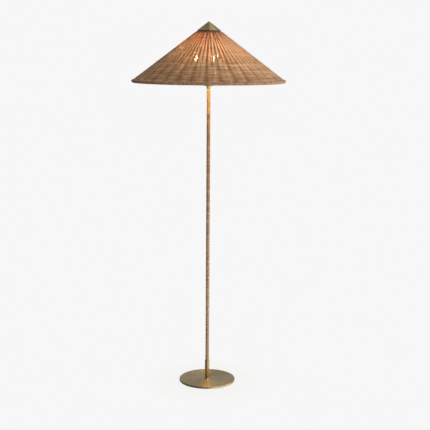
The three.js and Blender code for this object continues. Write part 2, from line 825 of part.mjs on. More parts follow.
// A ring under the top of the weave, with arms down to a hub on the rod.
function shadeSpider() {
  const hubRadius = washerRadius + SPIDER_ARM;
  const hubMiddle = (spiderHubBottom + spiderHubTop) / 2;
  const armRoot = washerRadius + SPIDER_ARM / 2 + SEAT_GAP;
  const ring = turned(circle(ringCentre, SPIDER_WIRE / 2, THIN_SIDES), RING_SIDES);
  const hub = rod(hubRadius, spiderHubBottom, spiderHubTop, TURNED_SIDES);
  const from = new THREE.Vector3(armRoot, 0, hubMiddle);
  const to = new THREE.Vector3(ringCentre.x, 0, ringCentre.y);
  const arms = Array.from({ length: SPIDER_ARMS }, (_, i) =>
    bar(from, to, SPIDER_ARM / 2).rotateZ((2 * Math.PI * i) / SPIDER_ARMS - Math.PI / 2),
  );
  const hole = rod(rodFit, spiderHubBottom - CUT_OVERRUN, spiderHubTop + CUT_OVERRUN);
  return cut(join(ring, hub, ...arms), hole);
}

function capShell() {
  const edge = downAt(CAP_RADIUS, 0);
  const tip = point(0, LAMP_HEIGHT);
  const tipInside = point(0, LAMP_HEIGHT - CAP_WALL / Math.cos(coneAngle));
  return turned([slopePoint(edge, 0), tip, tipInside, slopePoint(edge, CAP_WALL)], CAP_SIDES);
}

// The boss hangs under the cap's tip, and the rod's end screws into it.
function capBoss() {
  const under = CAP_WALL + SEAT_GAP;
  const shoulder = slopePoint(downAt(bossRadius, under), under);
  const crown = point(0, shoulder.y + bossRadius * Math.tan(coneAngle));
  const holeTop = rodTop + SEAT_GAP;
  return turned([
    crown,
    shoulder,
    point(bossRadius, bossBottom),
    point(rodFit, bossBottom),
    point(rodFit, holeTop),
    point(0, holeTop),
  ]);
}

// Assembly

add("base_cover", baseCover(), brass);
add("base_weight", baseWeight(), iron);
add("base_felt", baseFelt(), felt);
add("cord_grommet", cordGrommet(), rubber);
add("stem_flange", stemFlange(), steel);
screwPlaces().forEach((place, i) => add(`flange_screw_${i + 1}`, flangeScrew(place), steel));

add("stem_collar", stemCollar(), brass);
add("stem_tube", pipe(tubeRadius, boreRadius, flangeBottom, tubeTop), steel);
add("stem_wrap", stemWrap(), cane);
add("wrap_tack", wrapTack(), brass);
add("top_ferrule", pipe(tubeFit + FERRULE_WALL, tubeFit, ferruleBottom, ferruleTop, TURNED_SIDES), brass);
add("stem_flex", stemFlex(), plastic);

add("hub_bowl", hubBowl(), brass);
add("hub_lid", hubLid(), brass);
add("stem_nut", nut(stemNutCorner, tubeFit, stemNutBottom, stemNutBottom + STEM_NUT_HEIGHT), steel);
add("wire_connector", rod(connectorRadius, connectorBottom, connectorTop, SMALL_SIDES), plastic);

const lowerNutBottom = lidTop - HUB_WALL - SEAT_GAP - ROD_NUT_HEIGHT;
add("shade_rod", rod(rodRadius, lowerNutBottom - THREAD_SPARE, rodTop), steel);
add("rod_nut_lower", rodNut(lowerNutBottom), steel);
add("rod_nut_upper", rodNut(lidTop + SEAT_GAP), brass);
add("spider_nut", rodNut(spiderHubBottom - SEAT_GAP - ROD_NUT_HEIGHT), brass);

// Branch pieces are made along +Z, and their group tilts them out.
branchAngles.forEach((angle, i) => {
  const number = i + 1;
  const branch = new THREE.Group();
  branch.position.z = branchOrigin;
  branch.rotation.set(0, tilt, angle, "ZYX");
  lamp.add(branch);
  add(`branch_nipple_${number}`, branchNipple(), brass, branch);
  const lead = rod(leadRadius, leadStart, coreBottom - SEAT_GAP, THIN_SIDES);
  add(`holder_lead_${number}`, lead, plastic, branch);
  add(`holder_shell_${number}`, holderShell(), brass, branch);
  add(`holder_core_${number}`, holderCore(), ceramic, branch);
  const sleeve = pipe(sleeveOutside, sleeveInside, contactBottom, coreTop, SMALL_SIDES);
  add(`holder_sleeve_${number}`, sleeve, brass, branch);
  const contact = rod(CONTACT_DIAMETER / 2, contactBottom, contactBottom + CONTACT_HEIGHT, WIRE_SIDES);
  add(`holder_contact_${number}`, contact, brass, branch);
  add(`bulb_cap_${number}`, bulbCap(), steel, branch);
  add(`bulb_glass_${number}`, bulbGlass(), glass, branch);
  add(`bulb_filament_${number}`, bulbFilament(), filament, branch);
});

add("shade_weave", shadeWeave(), rattan);
add("shade_hoop", shadeHoop(), steel);
add("rim_binding", rimBinding(), rattan);
add("shade_spider", shadeSpider(), steel);
add("spider_washer", pipe(washerRadius, rodFit, washerBottom, washerBottom + WASHER_THICKNESS), steel);
add("cap_shell", capShell(), brass);
add("cap_boss", capBoss(), brass);

export default lamp;
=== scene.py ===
# The looks of a rattan floor lamp: woven cone shade, lit bulbs, cane-wrapped stem and brushed brass foot.
# Metres, +Z up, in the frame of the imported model.
import json
import math
from contextlib import contextmanager

import bpy
import numpy as np
from mathutils import Matrix, Vector

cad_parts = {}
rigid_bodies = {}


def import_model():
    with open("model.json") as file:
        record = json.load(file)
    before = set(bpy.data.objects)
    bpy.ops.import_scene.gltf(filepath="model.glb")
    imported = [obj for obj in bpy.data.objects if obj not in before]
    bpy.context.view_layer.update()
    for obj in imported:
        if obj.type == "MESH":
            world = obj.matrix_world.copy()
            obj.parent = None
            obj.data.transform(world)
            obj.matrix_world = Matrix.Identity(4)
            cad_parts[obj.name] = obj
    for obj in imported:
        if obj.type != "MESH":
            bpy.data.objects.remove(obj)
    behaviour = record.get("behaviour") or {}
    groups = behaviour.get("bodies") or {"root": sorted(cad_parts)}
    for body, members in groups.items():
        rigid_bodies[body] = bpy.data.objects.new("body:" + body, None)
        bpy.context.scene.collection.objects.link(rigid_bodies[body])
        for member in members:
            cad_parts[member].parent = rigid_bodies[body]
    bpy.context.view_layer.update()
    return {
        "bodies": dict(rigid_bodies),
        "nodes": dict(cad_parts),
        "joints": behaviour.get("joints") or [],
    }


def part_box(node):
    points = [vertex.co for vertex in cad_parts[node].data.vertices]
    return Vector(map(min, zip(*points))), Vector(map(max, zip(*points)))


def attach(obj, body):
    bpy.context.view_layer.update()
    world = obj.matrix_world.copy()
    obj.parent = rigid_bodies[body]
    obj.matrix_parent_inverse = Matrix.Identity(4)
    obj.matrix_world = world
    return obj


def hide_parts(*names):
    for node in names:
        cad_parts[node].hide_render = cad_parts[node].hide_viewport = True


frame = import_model()

# Fineness of round forms
FINE_SIDES = 160
TURNED_SIDES = 72
SMALL_SIDES = 40
ROUND_STEPS = 6
MERGE = 1e-6
FACET_ANGLE = 35

# Foot and collar
EDGE_HEIGHT = 0.0092
EDGE_ROUND = 0.0025
COVER_WALL = 0.0012
CROWN_FLAT = 0.0258
CROWN_STEPS = 10
CROWN_POWER = 1.35
CORD_SLOT_DEPTH = 0.02
COLLAR_ROUND = 0.0008
COLLAR_LIP = 0.0045
COLLAR_GROOVE = 0.0005

# Cane round the stem
CANE_TURN = 0.0045
CANE_WIDTH_SHARE = 0.95
CANE_CROWN = 0.00055
CANE_SECTION = ((0, 1), (0.16, 0.25), (0.5, 0), (0.84, 0.25), (1, 1))
CANE_STEPS = 28
CANE_WANDER = 0.00012
CANE_KNOTS = 5
# Painted shade along the stem: the cane is painted darker towards the top, against the bulbs' light from
# above
CANE_SHADE_AT = (0.3, 0.6, 0.75, 1.0, 1.12, 1.25)
CANE_SHADE_TONES = (0.62, 0.56, 0.36, 0.16, 0.08, 0.30)
CANE_MOTTLE = 0.32
CANE_MOTTLE_KNOTS = 2
TACK_FLATNESS = 0.45

# Hub and lampholders
HUB_WALL = 0.0015
HUB_ROUND = 0.004
SEAT_GAP = 0.0003
EDGE_SOFT = 0.0003
NIPPLE_BORE = 0.0025
NIPPLE_HOLE_DEPTH = 0.012
HOLDER_WALL = 0.0009
HOLDER_BASE = 0.002
HOLDER_BEAD = 0.0009
HOLDER_GROOVE = 0.0004
HOLDER_GROOVE_SHARE = 0.3
SLEEVE_WALL = 0.0006
SLEEVE_ROUND = 0.0002
CONTACT_TIP_SHARE = 0.6

# Bulbs
THREAD_PITCH = 0.0036
THREAD_DEPTH = 0.0008
THREAD_MARGIN = 0.0015
THREAD_ROWS = 44
THREAD_FADE_ROWS = 5
BULB_CAP_WALL = 0.0009
BULB_CAP_INSIDE = 0.012
TIP_RADIUS = 0.005
TIP_ROUND = 0.0006
TIP_HEIGHT = 0.0025
SHOULDER_SHARE = 0.9
SHOULDER_HEIGHT = 0.0004
GLASS_WALL = 0.0008
GLASS_NECK = 0.005
GLASS_JOIN_ANGLE = -28
GLASS_FLARE_STEPS = 12
GLASS_DOME_STEPS = 20
GLASS_SIDES = 64
MOUNT_FOOT_RADIUS = 0.0032
MOUNT_FOOT_HEIGHT = 0.010
MOUNT_STEM_RADIUS = 0.0018
MOUNT_STEM_LENGTH = 0.006
MOUNT_PIN_RADIUS = 0.0007
MOUNT_SIDES = 24
PLATE_NEAR = 0.0004
PLATE_FAR = 0.001
STRAND_COUNT = 4
STRAND_RADIUS = 0.0010
STRAND_CIRCLE = 0.0065
STRAND_LENGTH = 0.034
STRAND_SIDES = 16

# Woven shade
STAKE_COUNT = 66
FIRST_STAKE_ANGLE = -86.0
STAKE_HALF_WIDTH = 0.0015
STAKE_TIP_HALF_WIDTH = 0.0012
STAKE_HALF_THICKNESS = 0.0008
STAKE_TOP_RADIUS = 0.037
STAKE_RINGS = 40
STAKE_SECTION = 8
STAKE_WANDER = 0.0004
STAKE_KNOTS = 5
STAKE_TONES = (0.1, 0.9)
TAPER_LENGTH = 0.16
CAP_OVERLAP = 0.008
BARE_LENGTH = 0.0075
STAKE_STARTS = (0.0, 0.118, 0.080, 0.118)
ROW_PITCH = 0.0031
WEAVER_WIDTH = 0.0033
WEAVER_THICKNESS = 0.0012
OUTER_SWELL = 0.45
INNER_SWELL = 1.0
SWELL_START = 0.3
SWELL_END = 0.75
BEND_POWER = 1.4
# Painted shade over the stakes, where they hold back the bulbs' light and shade the weave beside them: how
# dark at distances down, one line to four stakes, one to two, and one to each
STAKE_SHADE_AT = (0.066, 0.085, 0.100, 0.115, 0.130, 0.150, 0.200, 0.240, 0.280, 0.320, 0.380)
STAKE_SHADE_FOURTHS = (0.18, 0.14, 0.13, 0.12, 0.10, 0.03, 0.0, 0.0, 0.0, 0.0, 0.0)
STAKE_SHADE_HALVES = (0.20, 0.52, 0.52, 0.32, 0.15, 0.06, 0.10, 0.08, 0.04, 0.0, 0.0)
STAKE_SHADE_ALL = (0.0, 0.0, 0.05, 0.14, 0.52, 0.82, 0.44, 0.24, 0.06, 0.02, 0.0)
FOURTHS_COUNT = 17
FOURTHS_ANGLE = -89.6
# The weave's mean tone by distance down. Near the cap it is painted shade: dark at the cap's edge, lighter
# further down.
WEAVE_TONE_AND_SHADE_AT = (0.064, 0.075, 0.092, 0.130, 0.160, 0.260, 0.300)
WEAVE_TONES_AND_SHADE = (0.05, 0.20, 0.36, 0.60, 0.66, 0.64, 0.66)
ROW_TONE = 0.1
ROW_CONTRAST = 0.08
# Painted shade on the rows just under the cap's edge
BARE_PAINTED_SHADE = 0.6
BATCH_ROWS = 2
BATCH_TONE = 0.05
BATCH_MOTTLE = 0.16
BATCH_KNOTS = 34
# Where the weavers part over a bulb: degrees round and metres down
PARTINGS = ((-105.1, 0.244), (-83.3, 0.250), (-77.8, 0.237), (-88.7, 0.272))
PARTING_HALF_LENGTH = 0.030
PARTING_HALF_WIDTH = 1.35
PARTING_DEPTH = 0.5
STEPS_PER_STAKE = 6
WEAVER_SECTION = 6
ROW_WANDER = 0.00012
ROW_TONE_KNOTS = 9
ROW_DEPTH_KNOTS = 40
ROW_HEIGHT_KNOTS = 24

# Rim binding. The CAD hoop's six-sided section is lower than its wire is thick.
HOOP_SECTION_SHARE = math.cos(math.pi / 6)
CHANNEL_WALL = 0.0009
CHANNEL_LIP = 0.005
CHANNEL_HOOK = 30
LASH_PITCH = 0.0052
LASH_WIDTH_SHARE = 0.93
LASH_THICKNESS = 0.0009
LASH_SECTION = ((-1, 0.0), (-0.7, 0.8), (0, 1.0), (0.7, 0.8), (1, 0.0), (0, -0.1))
LASH_THROUGH = 0.0015
LASH_MOTTLE = 0.2

# Spider, cap and rod
SPIDER_WIRE = 0.002
SPIDER_HUB_HEIGHT = 0.003
SPIDER_HUB_MARGIN = 0.0034
ARM_WIRE = 0.0017
ARM_START = 0.0087
CAP_WALL = 0.001
CAP_BLUNT = 0.0012
CAP_NOSE = 0.01
CAP_EDGE_BAND = 0.002
ROD_SIDES = 20
ROD_PITCH = 0.001
ROD_THREAD_DEPTH = 0.0004
ROD_THREAD_LENGTH = 0.028
ROD_BLUNT = 0.0005

# Light
PALE = 0.93
STUDIO_LEFT = 0.12
STUDIO_RIGHT = 2.9
STUDIO_BACK = 0.36
STUDIO_TOP = 0.30
FLOOR_LEFT = 0.14
FLOOR_RIGHT = 0.85
FLOOR_GLOW = 0.45
FLOOR_TURN_LEFT = -0.06
FLOOR_TURN_RIGHT = 0.1
SHADOW_SHARE = 0.12
SHADOW_START = 0.1
SHADOW_END = 0.3
SHADOW_TONE = 0.85
KEY_POWER = 3.4
KEY_PLACE = (0.75, 0.95, 3.6)
KEY_AIM = (0, 0, 1.3)
KEY_SIZE = 1.2
BULB_POWER = 8
BULB_COLOUR = (1.0, 0.96, 0.76)
BULB_LIGHT_RADIUS = 0.012
BULB_LIGHT_DEPTH = 0.03
GLOW_POWER = 1.6
GLOW_COLOUR = (1.0, 0.94, 0.24)
GLOW_SIZE = 0.42
GLOW_HEIGHT = 1.292

# Camera, fitted to the photograph
LENS = 82.95
CAMERA_DISTANCE = 4.124
CAMERA_HEIGHT = 1.428
CAMERA_PITCH = 8.213
CAMERA_YAW = 0.401
CAMERA_ROLL = 0.359
CAMERA_SHIFT = -0.06

random = np.random.default_rng(7)
UP = Vector((0, 0, 1))
IN_PLACE = Matrix.Identity(4)


# Working on pieces


def select_only(piece):
    bpy.ops.object.select_all(action="DESELECT")
    piece.select_set(True)
    bpy.context.view_layer.objects.active = piece


@contextmanager
def editing(piece):
    select_only(piece)
    bpy.ops.object.mode_set(mode="EDIT")
    bpy.ops.mesh.select_all(action="SELECT")
    yield
    bpy.ops.object.mode_set(mode="OBJECT")


def apply_modifiers(piece):
    select_only(piece)
    for modifier in list(piece.modifiers):
        bpy.ops.object.modifier_apply(modifier=modifier.name)


def smooth(piece, angle=FACET_ANGLE):
    select_only(piece)
    bpy.ops.object.shade_smooth_by_angle(angle=math.radians(angle))


def linked(name, mesh):
    piece = bpy.data.objects.new(name, mesh)
    bpy.context.scene.collection.objects.link(piece)
    return piece


def put_in_mesh(piece):
    """Moves the object's own place into its mesh."""
    select_only(piece)
    bpy.ops.object.transform_apply(location=True, rotation=True, scale=True)


def join(name, pieces):
    select_only(pieces[0])
    for piece in pieces:
        piece.select_set(True)
    bpy.ops.object.join()
    pieces[0].name = name
    pieces[0].data.name = name
    return pieces[0]


def done(piece, body, look, slot, *replaced):
    """Gives a finished piece its material and its body, and hides the CAD nodes that it stands for."""
    piece.data.materials.clear()
    piece.data.materials.append(look)
    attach(piece, body)
    if replaced:
        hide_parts(*replaced)
    return piece


def extent(node, origin=Vector(), axis=UP):
    """A CAD node's lowest and highest point along an axis and its largest radius about it."""
    mesh = frame["nodes"][node].data
    points = np.zeros(3 * len(mesh.vertices), np.float32)
    mesh.vertices.foreach_get("co", points)
    points = points.reshape(-1, 3) - np.array(origin)
    along = points @ np.array(axis)
    out = np.linalg.norm(points - np.outer(along, axis), axis=1)
    return float(along.min()), float(along.max()), float(out.max())


def arc(centre, radius, start, end, steps=ROUND_STEPS):
    angles = [math.radians(start + (end - start) * i / steps) for i in range(steps + 1)]
    return [(centre[0] + radius * math.cos(a), centre[1] + radius * math.sin(a)) for a in angles]


def full_turn(count):
    """Angles of even steps round a full turn."""
    return 2 * math.pi * np.arange(count) / count


def on_circle(reach, angle, height):
    """Points at a radius, an angle and a height about +Z."""
    return np.stack(np.broadcast_arrays(reach * np.cos(angle), reach * np.sin(angle), height), -1)


def turned(name, outline, sides=TURNED_SIDES, place=IN_PLACE):
    """Spins a half outline of (radius, height) points. One that stays off the axis closes on itself."""
    edges = [(i, i + 1) for i in range(len(outline) - 1)]
    if outline[0][0] > 0:
        edges.append((len(outline) - 1, 0))
    mesh = bpy.data.meshes.new(name)
    mesh.from_pydata([(radius, 0, height) for radius, height in outline], edges, [])
    piece = linked(name, mesh)
    with editing(piece):
        bpy.ops.mesh.spin(steps=sides, angle=2 * math.pi, center=(0, 0, 0), axis=(0, 0, 1))
        bpy.ops.mesh.select_all(action="SELECT")
        bpy.ops.mesh.remove_doubles(threshold=MERGE)
        bpy.ops.mesh.normals_make_consistent(inside=False)
    mesh.transform(place)
    smooth(piece)
    return piece


def soft_pipe(outer, inner, low, high, soft=EDGE_SOFT):
    """Half outline of a pipe with rounded corners outside."""
    return [
        (inner, low),
        *arc((outer - soft, low + soft), soft, -90, 0, 3),
        *arc((outer - soft, high - soft), soft, 0, 90, 3),
        (inner, high),
    ]


def soft_rod(radius, low, high):
    """Half outline of a rod with round ends."""
    low_end = arc((0, low + radius), radius, -90, 0, 4)[1:]
    high_end = arc((0, high - radius), radius, 0, 90, 4)[:-1]
    return [(0, low), *low_end, *high_end, (0, high)]


def cut_away(piece, cutter):
    """Takes the cutter's shape out of a piece and deletes the cutter."""
    boolean = piece.modifiers.new("cut", "BOOLEAN")
    boolean.operation = "DIFFERENCE"
    boolean.solver = "EXACT"
    boolean.object = cutter
    apply_modifiers(piece)
    bpy.data.objects.remove(cutter)
    smooth(piece)


def sweep(name, strands):
    """One mesh of many strands. A strand is (rings, closed, tone), and its rings are an array of points:
    ring, point round the section, xyz. The UV map runs along it in metres and round it from 0 to 1."""
    points, loops, starts, uvs, tones = [], [], [], [], []
    first = 0
    corner = 0
    for rings, closed, tone in strands:
        count, sides = rings.shape[:2]
        steps = count if closed else count - 1
        i, k = np.meshgrid(np.arange(steps), np.arange(sides), indexing="ij")
        after = (i + 1) % count
        beside = (k + 1) % sides
        quads = np.stack([i * sides + k, after * sides + k, after * sides + beside, i * sides + beside], -1)
        middles = rings.mean(1)
        lengths = np.linalg.norm(np.diff(middles, axis=0, append=middles[:1]), axis=1)
        along = np.concatenate([[0], np.cumsum(lengths)])
        u = np.stack([along[i], along[i + 1], along[i + 1], along[i]], -1)
        v = np.stack([k, k, k + 1, k + 1], -1) / sides
        points.append(rings.reshape(-1, 3))
        loops.append(quads.reshape(-1) + first)
        uvs.append(np.stack([u, v], -1).reshape(-1, 2))
        starts.append(corner + 4 * np.arange(steps * sides))
        corner += 4 * steps * sides
        if not closed:
            for ring, order in ((0, range(sides)), (count - 1, range(sides - 1, -1, -1))):
                end = np.array([ring * sides + k for k in order])
                loops.append(end + first)
                uvs.append(np.tile([along[ring], 0.5], (sides, 1)))
                starts.append(np.array([corner]))
                corner += sides
        tones.append(np.broadcast_to(tone, count).repeat(sides))
        first += count * sides
    mesh = bpy.data.meshes.new(name)
    points = np.concatenate(points).astype(np.float32)
    loops = np.concatenate(loops).astype(np.int32)
    starts = np.concatenate(starts).astype(np.int32)
    mesh.vertices.add(len(points))
    mesh.vertices.foreach_set("co", points.ravel())
    mesh.loops.add(len(loops))
    mesh.loops.foreach_set("vertex_index", loops)
    mesh.polygons.add(len(starts))
    mesh.polygons.foreach_set("loop_start", starts)
    mesh.update(calc_edges=True)
    uv_map = mesh.uv_layers.new(name="strand")
    uv_map.data.foreach_set("uv", np.concatenate(uvs).astype(np.float32).ravel())
    attribute = mesh.attributes.new("tone", "FLOAT", "POINT")
    attribute.data.foreach_set("value", np.concatenate(tones).astype(np.float32))
    mesh.validate()
    piece = linked(name, mesh)
    smooth(piece, angle=60)
    return piece


def wander(count, knots, size):
    """A smooth random line through so many knots that comes back to its start."""
    values = random.uniform(-size, size, knots)
    at = np.linspace(0, knots, count, endpoint=False)
    left = at.astype(int) % knots
    share = at - at.astype(int)
    ease = share * share * (3 - 2 * share)
    return values[left] * (1 - ease) + values[(left + 1) % knots] * ease


# Materials


class Look:
    """A node material that is built one node at a time."""

    def __init__(self, name):
        self.material = bpy.data.materials.new(name)
        self.material.use_nodes = True
        self.tree = self.material.node_tree
        self.tree.nodes.clear()
        self.output = self.node("OutputMaterial")
        self.shader = self.node("BsdfPrincipled")
        self.link(self.shader.outputs[0], self.output.inputs["Surface"])

    def node(self, kind, links=None, values=None, **settings):
        made = self.tree.nodes.new("ShaderNode" + kind)
        for key, value in settings.items():
            setattr(made, key, value)
        for key, value in (values or {}).items():
            made.inputs[key].default_value = value
        for key, source in (links or {}).items():
            self.link(source, made.inputs[key])
        return made

    def link(self, source, target):
        self.tree.links.new(source, target)

    def set(self, **values):
        for key, value in values.items():
            self.shader.inputs[key.replace("_", " ")].default_value = value

    def feed(self, **sources):
        for key, source in sources.items():
            self.link(source, self.shader.inputs[key.replace("_", " ")])

    def math(self, operation, first, second, clamp=False):
        made = self.node("Math", operation=operation, use_clamp=clamp)
        for socket, value in zip(made.inputs, (first, second)):
            if isinstance(value, (int, float)):
                socket.default_value = value
            else:
                self.link(value, socket)
        return made.outputs[0]

    def noise(self, vector, scale, detail, roughness):
        values = {"Scale": scale, "Detail": detail, "Roughness": roughness}
        return self.node("TexNoise", {"Vector": vector}, values).outputs["Fac"]

    def place(self):
        return self.node("TexCoord").outputs["Object"]

    def blend(self, share, low, high):
        made = self.node("Mix", data_type="RGBA")
        self.link(share, made.inputs["Factor"])
        for key, value in (("A", low), ("B", high)):
            socket = [s for s in made.inputs if s.name == key and s.type == "RGBA"][0]
            if isinstance(value, tuple):
                socket.default_value = (*value, 1)
            else:
                self.link(value, socket)
        return [s for s in made.outputs if s.type == "RGBA"][0]

    def spread(self, share, low, high, new_low, new_high):
        values = {"From Min": low, "From Max": high, "To Min": new_low, "To Max": new_high}
        return self.node("MapRange", {"Value": share}, values).outputs[0]

    def bump(self, height, strength, distance):
        made = self.node("Bump", {"Height": height}, {"Strength": strength, "Distance": distance})
        self.feed(Normal=made.outputs[0])


def brass(name, bright, circular=False):
    """Satin brass, bright or aged. Circular brushing runs round +Z, and catches light in wedges."""
    look = Look(name)
    at = look.place()
    x, y, z = look.node("SeparateXYZ", {"Vector": at}).outputs
    flat = look.node("CombineXYZ", {"X": x, "Y": y}).outputs[0]
    radius = look.node("VectorMath", {0: flat}, operation="LENGTH").outputs["Value"]
    heading = look.node("VectorMath", {0: flat}, operation="NORMALIZE").outputs["Vector"]
    hx, hy, _ = look.node("SeparateXYZ", {"Vector": heading}).outputs
    grain_height = look.math("ADD", radius, z)
    rows = look.math("MULTIPLY", grain_height, 900)
    along = look.node("CombineXYZ", {"X": rows, "Y": hx, "Z": hy}).outputs[0]
    lines = look.noise(along, 2.2, 6, 0.65)
    cloud = look.noise(at, 26, 4, 0.6)
    clean = (0.62, 0.46, 0.255) if bright else (0.39, 0.295, 0.14)
    aged = tuple(0.78 * share for share in clean)
    worn = look.blend(look.spread(cloud, 0.35, 0.7, 0, 1), clean, aged)
    scored = tuple(0.62 * share for share in clean)
    look.feed(Base_Color=look.blend(look.spread(lines, 0.3, 0.75, 0, 0.35), worn, scored))
    smoothest = 0.30 if circular else 0.2
    look.feed(Roughness=look.spread(lines, 0.2, 0.8, smoothest, smoothest + 0.12))
    look.set(Metallic=1.0)
    look.bump(lines, 0.12, 0.0002)
    if circular:
        look.set(Anisotropic=0.95, Anisotropic_Rotation=0.25)
        tangent = look.node("Tangent", direction_type="RADIAL", axis="Z")
        look.feed(Tangent=tangent.outputs[0])
    return look.material


def plain_metal(name, colour, dull, roughness):
    look = Look(name)
    at = look.place()
    cloud = look.noise(at, 90, 4, 0.6)
    look.feed(Base_Color=look.blend(look.spread(cloud, 0.3, 0.7, 0, 1), colour, dull))
    look.feed(Roughness=look.spread(cloud, 0.3, 0.7, roughness, roughness + 0.15))
    look.set(Metallic=1.0)
    look.bump(look.noise(at, 900, 3, 0.6), 0.15, 0.0002)
    return look.material


def rattan(name, dark, middle, light, glow, roughness, streak_scale):
    """Rattan or cane: streaks of fibre along the strand, each strand with its own tone. Where a strand sets
    it, the tone also carries painted shade.
    """
    look = Look(name)
    u, v, _ = look.node("SeparateXYZ", {"Vector": look.node("UVMap", uv_map="strand").outputs[0]}).outputs
    tone = look.node("Attribute", attribute_name="tone", attribute_type="GEOMETRY").outputs["Fac"]
    scaled = [look.math("MULTIPLY", *pair) for pair in ((u, 18), (v, streak_scale), (tone, 40))]
    fibre_at = look.node("CombineXYZ", dict(zip("XYZ", scaled))).outputs[0]
    fibres = look.noise(fibre_at, 3.0, 5, 0.6)
    blotches = look.noise(look.place(), 38, 3, 0.55)
    mixed = look.math("ADD", look.math("MULTIPLY", fibres, 0.3), look.math("MULTIPLY", blotches, 0.25))
    grain_and_painted_shade = look.math("ADD", mixed, look.math("MULTIPLY", tone, 0.65))
    low = look.blend(look.spread(grain_and_painted_shade, 0.3, 0.6, 0, 1), dark, middle)
    look.feed(Base_Color=look.blend(look.spread(grain_and_painted_shade, 0.58, 0.92, 0, 1), low, light))
    look.feed(Roughness=look.spread(fibres, 0.3, 0.7, roughness - 0.08, roughness + 0.12))
    look.set(Specular_IOR_Level=0.4)
    if glow:
        look.set(Subsurface_Weight=glow, Subsurface_Radius=(1.0, 0.9, 0.75), Subsurface_Scale=0.0015)
    look.bump(fibres, 0.35, 0.0003)
    return look.material


def moulded(name, colour, shade, roughness, grain=400, depth=0.0001):
    """Rubber, plastic, porcelain or felt: a slightly uneven tone and a fine grain."""
    look = Look(name)
    at = look.place()
    cloud = look.noise(at, 60, 3, 0.5)
    look.feed(Base_Color=look.blend(look.spread(cloud, 0.3, 0.7, 0, 1), colour, shade))
    look.set(Roughness=roughness)
    look.bump(look.noise(at, grain, 4, 0.65), 0.3, depth)
    return look.material


def clear_glass(name):
    look = Look(name)
    dust = look.noise(look.place(), 70, 3, 0.6)
    glass = look.node("BsdfGlossy", values={"Color": (1, 1, 1, 1), "Roughness": 0.03})
    through = look.node("BsdfTransparent", values={"Color": (1.0, 0.985, 0.95, 1)})
    edge = look.node("Fresnel", values={"IOR": 1.45})
    share = look.math("ADD", edge.outputs[0], look.spread(dust, 0.4, 0.8, 0.0, 0.03), clamp=True)
    mixed = look.node("MixShader", {"Fac": share, 1: through.outputs[0], 2: glass.outputs[0]})
    look.tree.nodes.remove(look.shader)
    look.link(mixed.outputs[0], look.output.inputs["Surface"])
    return look.material


def glowing(name, colour, strength):
    look = Look(name)
    look.set(Base_Color=(1.0, 0.72, 0.34, 1), Roughness=0.5)
    look.set(Emission_Color=(*colour, 1), Emission_Strength=strength)
    look.bump(look.noise(look.place(), 1500, 3, 0.6), 0.2, 0.0001)
    return look.material


foot_brass = brass("circular_brushed_brass", True, circular=True)
bright_brass = brass("bright_satin_brass", True)
satin_brass = brass("aged_satin_brass", False)
tarnished_brass = plain_metal("tarnished_brass", (0.13, 0.095, 0.055), (0.09, 0.07, 0.045), 0.45)
zinc_steel = plain_metal("zinc_plated_steel", (0.52, 0.52, 0.52), (0.40, 0.40, 0.41), 0.32)
rolled_aluminium = plain_metal("rolled_aluminium", (0.70, 0.70, 0.69), (0.58, 0.58, 0.57), 0.3)
cast_iron = plain_metal("cast_iron", (0.10, 0.10, 0.11), (0.07, 0.07, 0.075), 0.6)
weaver_rattan = rattan(
    "weaver_rattan", (0.15, 0.060, 0.020), (0.38, 0.174, 0.068), (0.65, 0.45, 0.25), 0.6, 0.5, 5
)
stake_rattan = rattan(
    "stake_rattan", (0.13, 0.06, 0.028), (0.30, 0.15, 0.075), (0.48, 0.28, 0.15), 0.3, 0.55, 5
)
binding_cane = rattan(
    "binding_cane", (0.16, 0.075, 0.036), (0.40, 0.21, 0.105), (0.62, 0.39, 0.22), 0.0, 0.45, 6
)
stem_cane = rattan(
    "stem_cane", (0.26, 0.13, 0.065), (0.46, 0.27, 0.15), (0.64, 0.43, 0.27), 0.0, 0.4, 6
)
pressed_felt = moulded("pressed_felt", (0.055, 0.05, 0.042), (0.035, 0.03, 0.026), 0.95, 1800, 0.0004)
black_rubber = moulded("black_rubber", (0.03, 0.03, 0.03), (0.02, 0.02, 0.02), 0.75)
lead_skin = moulded("lead_insulation", (0.62, 0.58, 0.50), (0.54, 0.50, 0.43), 0.45)
connector_plastic = moulded("connector_plastic", (0.66, 0.63, 0.56), (0.58, 0.55, 0.49), 0.5)
porcelain = moulded("glazed_porcelain", (0.80, 0.78, 0.72), (0.74, 0.71, 0.65), 0.18, 120, 0.00005)
bulb_glass = clear_glass("bulb_glass")
filament_glow = glowing("filament_glow", (1.0, 0.80, 0.50), 18)


# Foot and stem


tube_bore = extent("stem_tube")[2] + SEAT_GAP
rod_bore = extent("shade_rod")[2] + SEAT_GAP


def cover_line(radius, top, bottom, inset):
    """Half outline of the foot's cover, or the same line further in."""
    corner = (radius - EDGE_ROUND, EDGE_HEIGHT - EDGE_ROUND)
    points = [(radius - inset, bottom), *arc(corner, EDGE_ROUND - inset, 0, 90)]
    start = corner[0]
    rise = top - EDGE_HEIGHT
    for i in range(1, CROWN_STEPS + 1):
        share = i / CROWN_STEPS
        ease = 1 - (1 - share) ** CROWN_POWER
        points.append((start + (CROWN_FLAT - start) * share, EDGE_HEIGHT + rise * ease - inset))
    return points


def make_foot():
    low, high, radius = extent("base_cover")
    outline = [
        *cover_line(radius, high, low, 0),
        (tube_bore, high),
        (tube_bore, high - COVER_WALL),
        *reversed(cover_line(radius, high, low, COVER_WALL)),
    ]
    cover = turned("foot_cover", outline, FINE_SIDES)
    corner_low, corner_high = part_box("cord_grommet")
    bpy.ops.mesh.primitive_cube_add(size=1)
    cutter = bpy.context.object
    room = Vector((2 * SEAT_GAP, CORD_SLOT_DEPTH, 2 * SEAT_GAP))
    size = corner_high - corner_low + room
    middle = (corner_low + corner_high) / 2 - Vector((0, 0, size.z))
    cutter.data.transform(Matrix.Translation(middle) @ Matrix.Diagonal((size.x, size.y, 3 * size.z, 1)))
    cut_away(cover, cutter)
    done(cover, "stand", foot_brass, "brass", "base_cover")


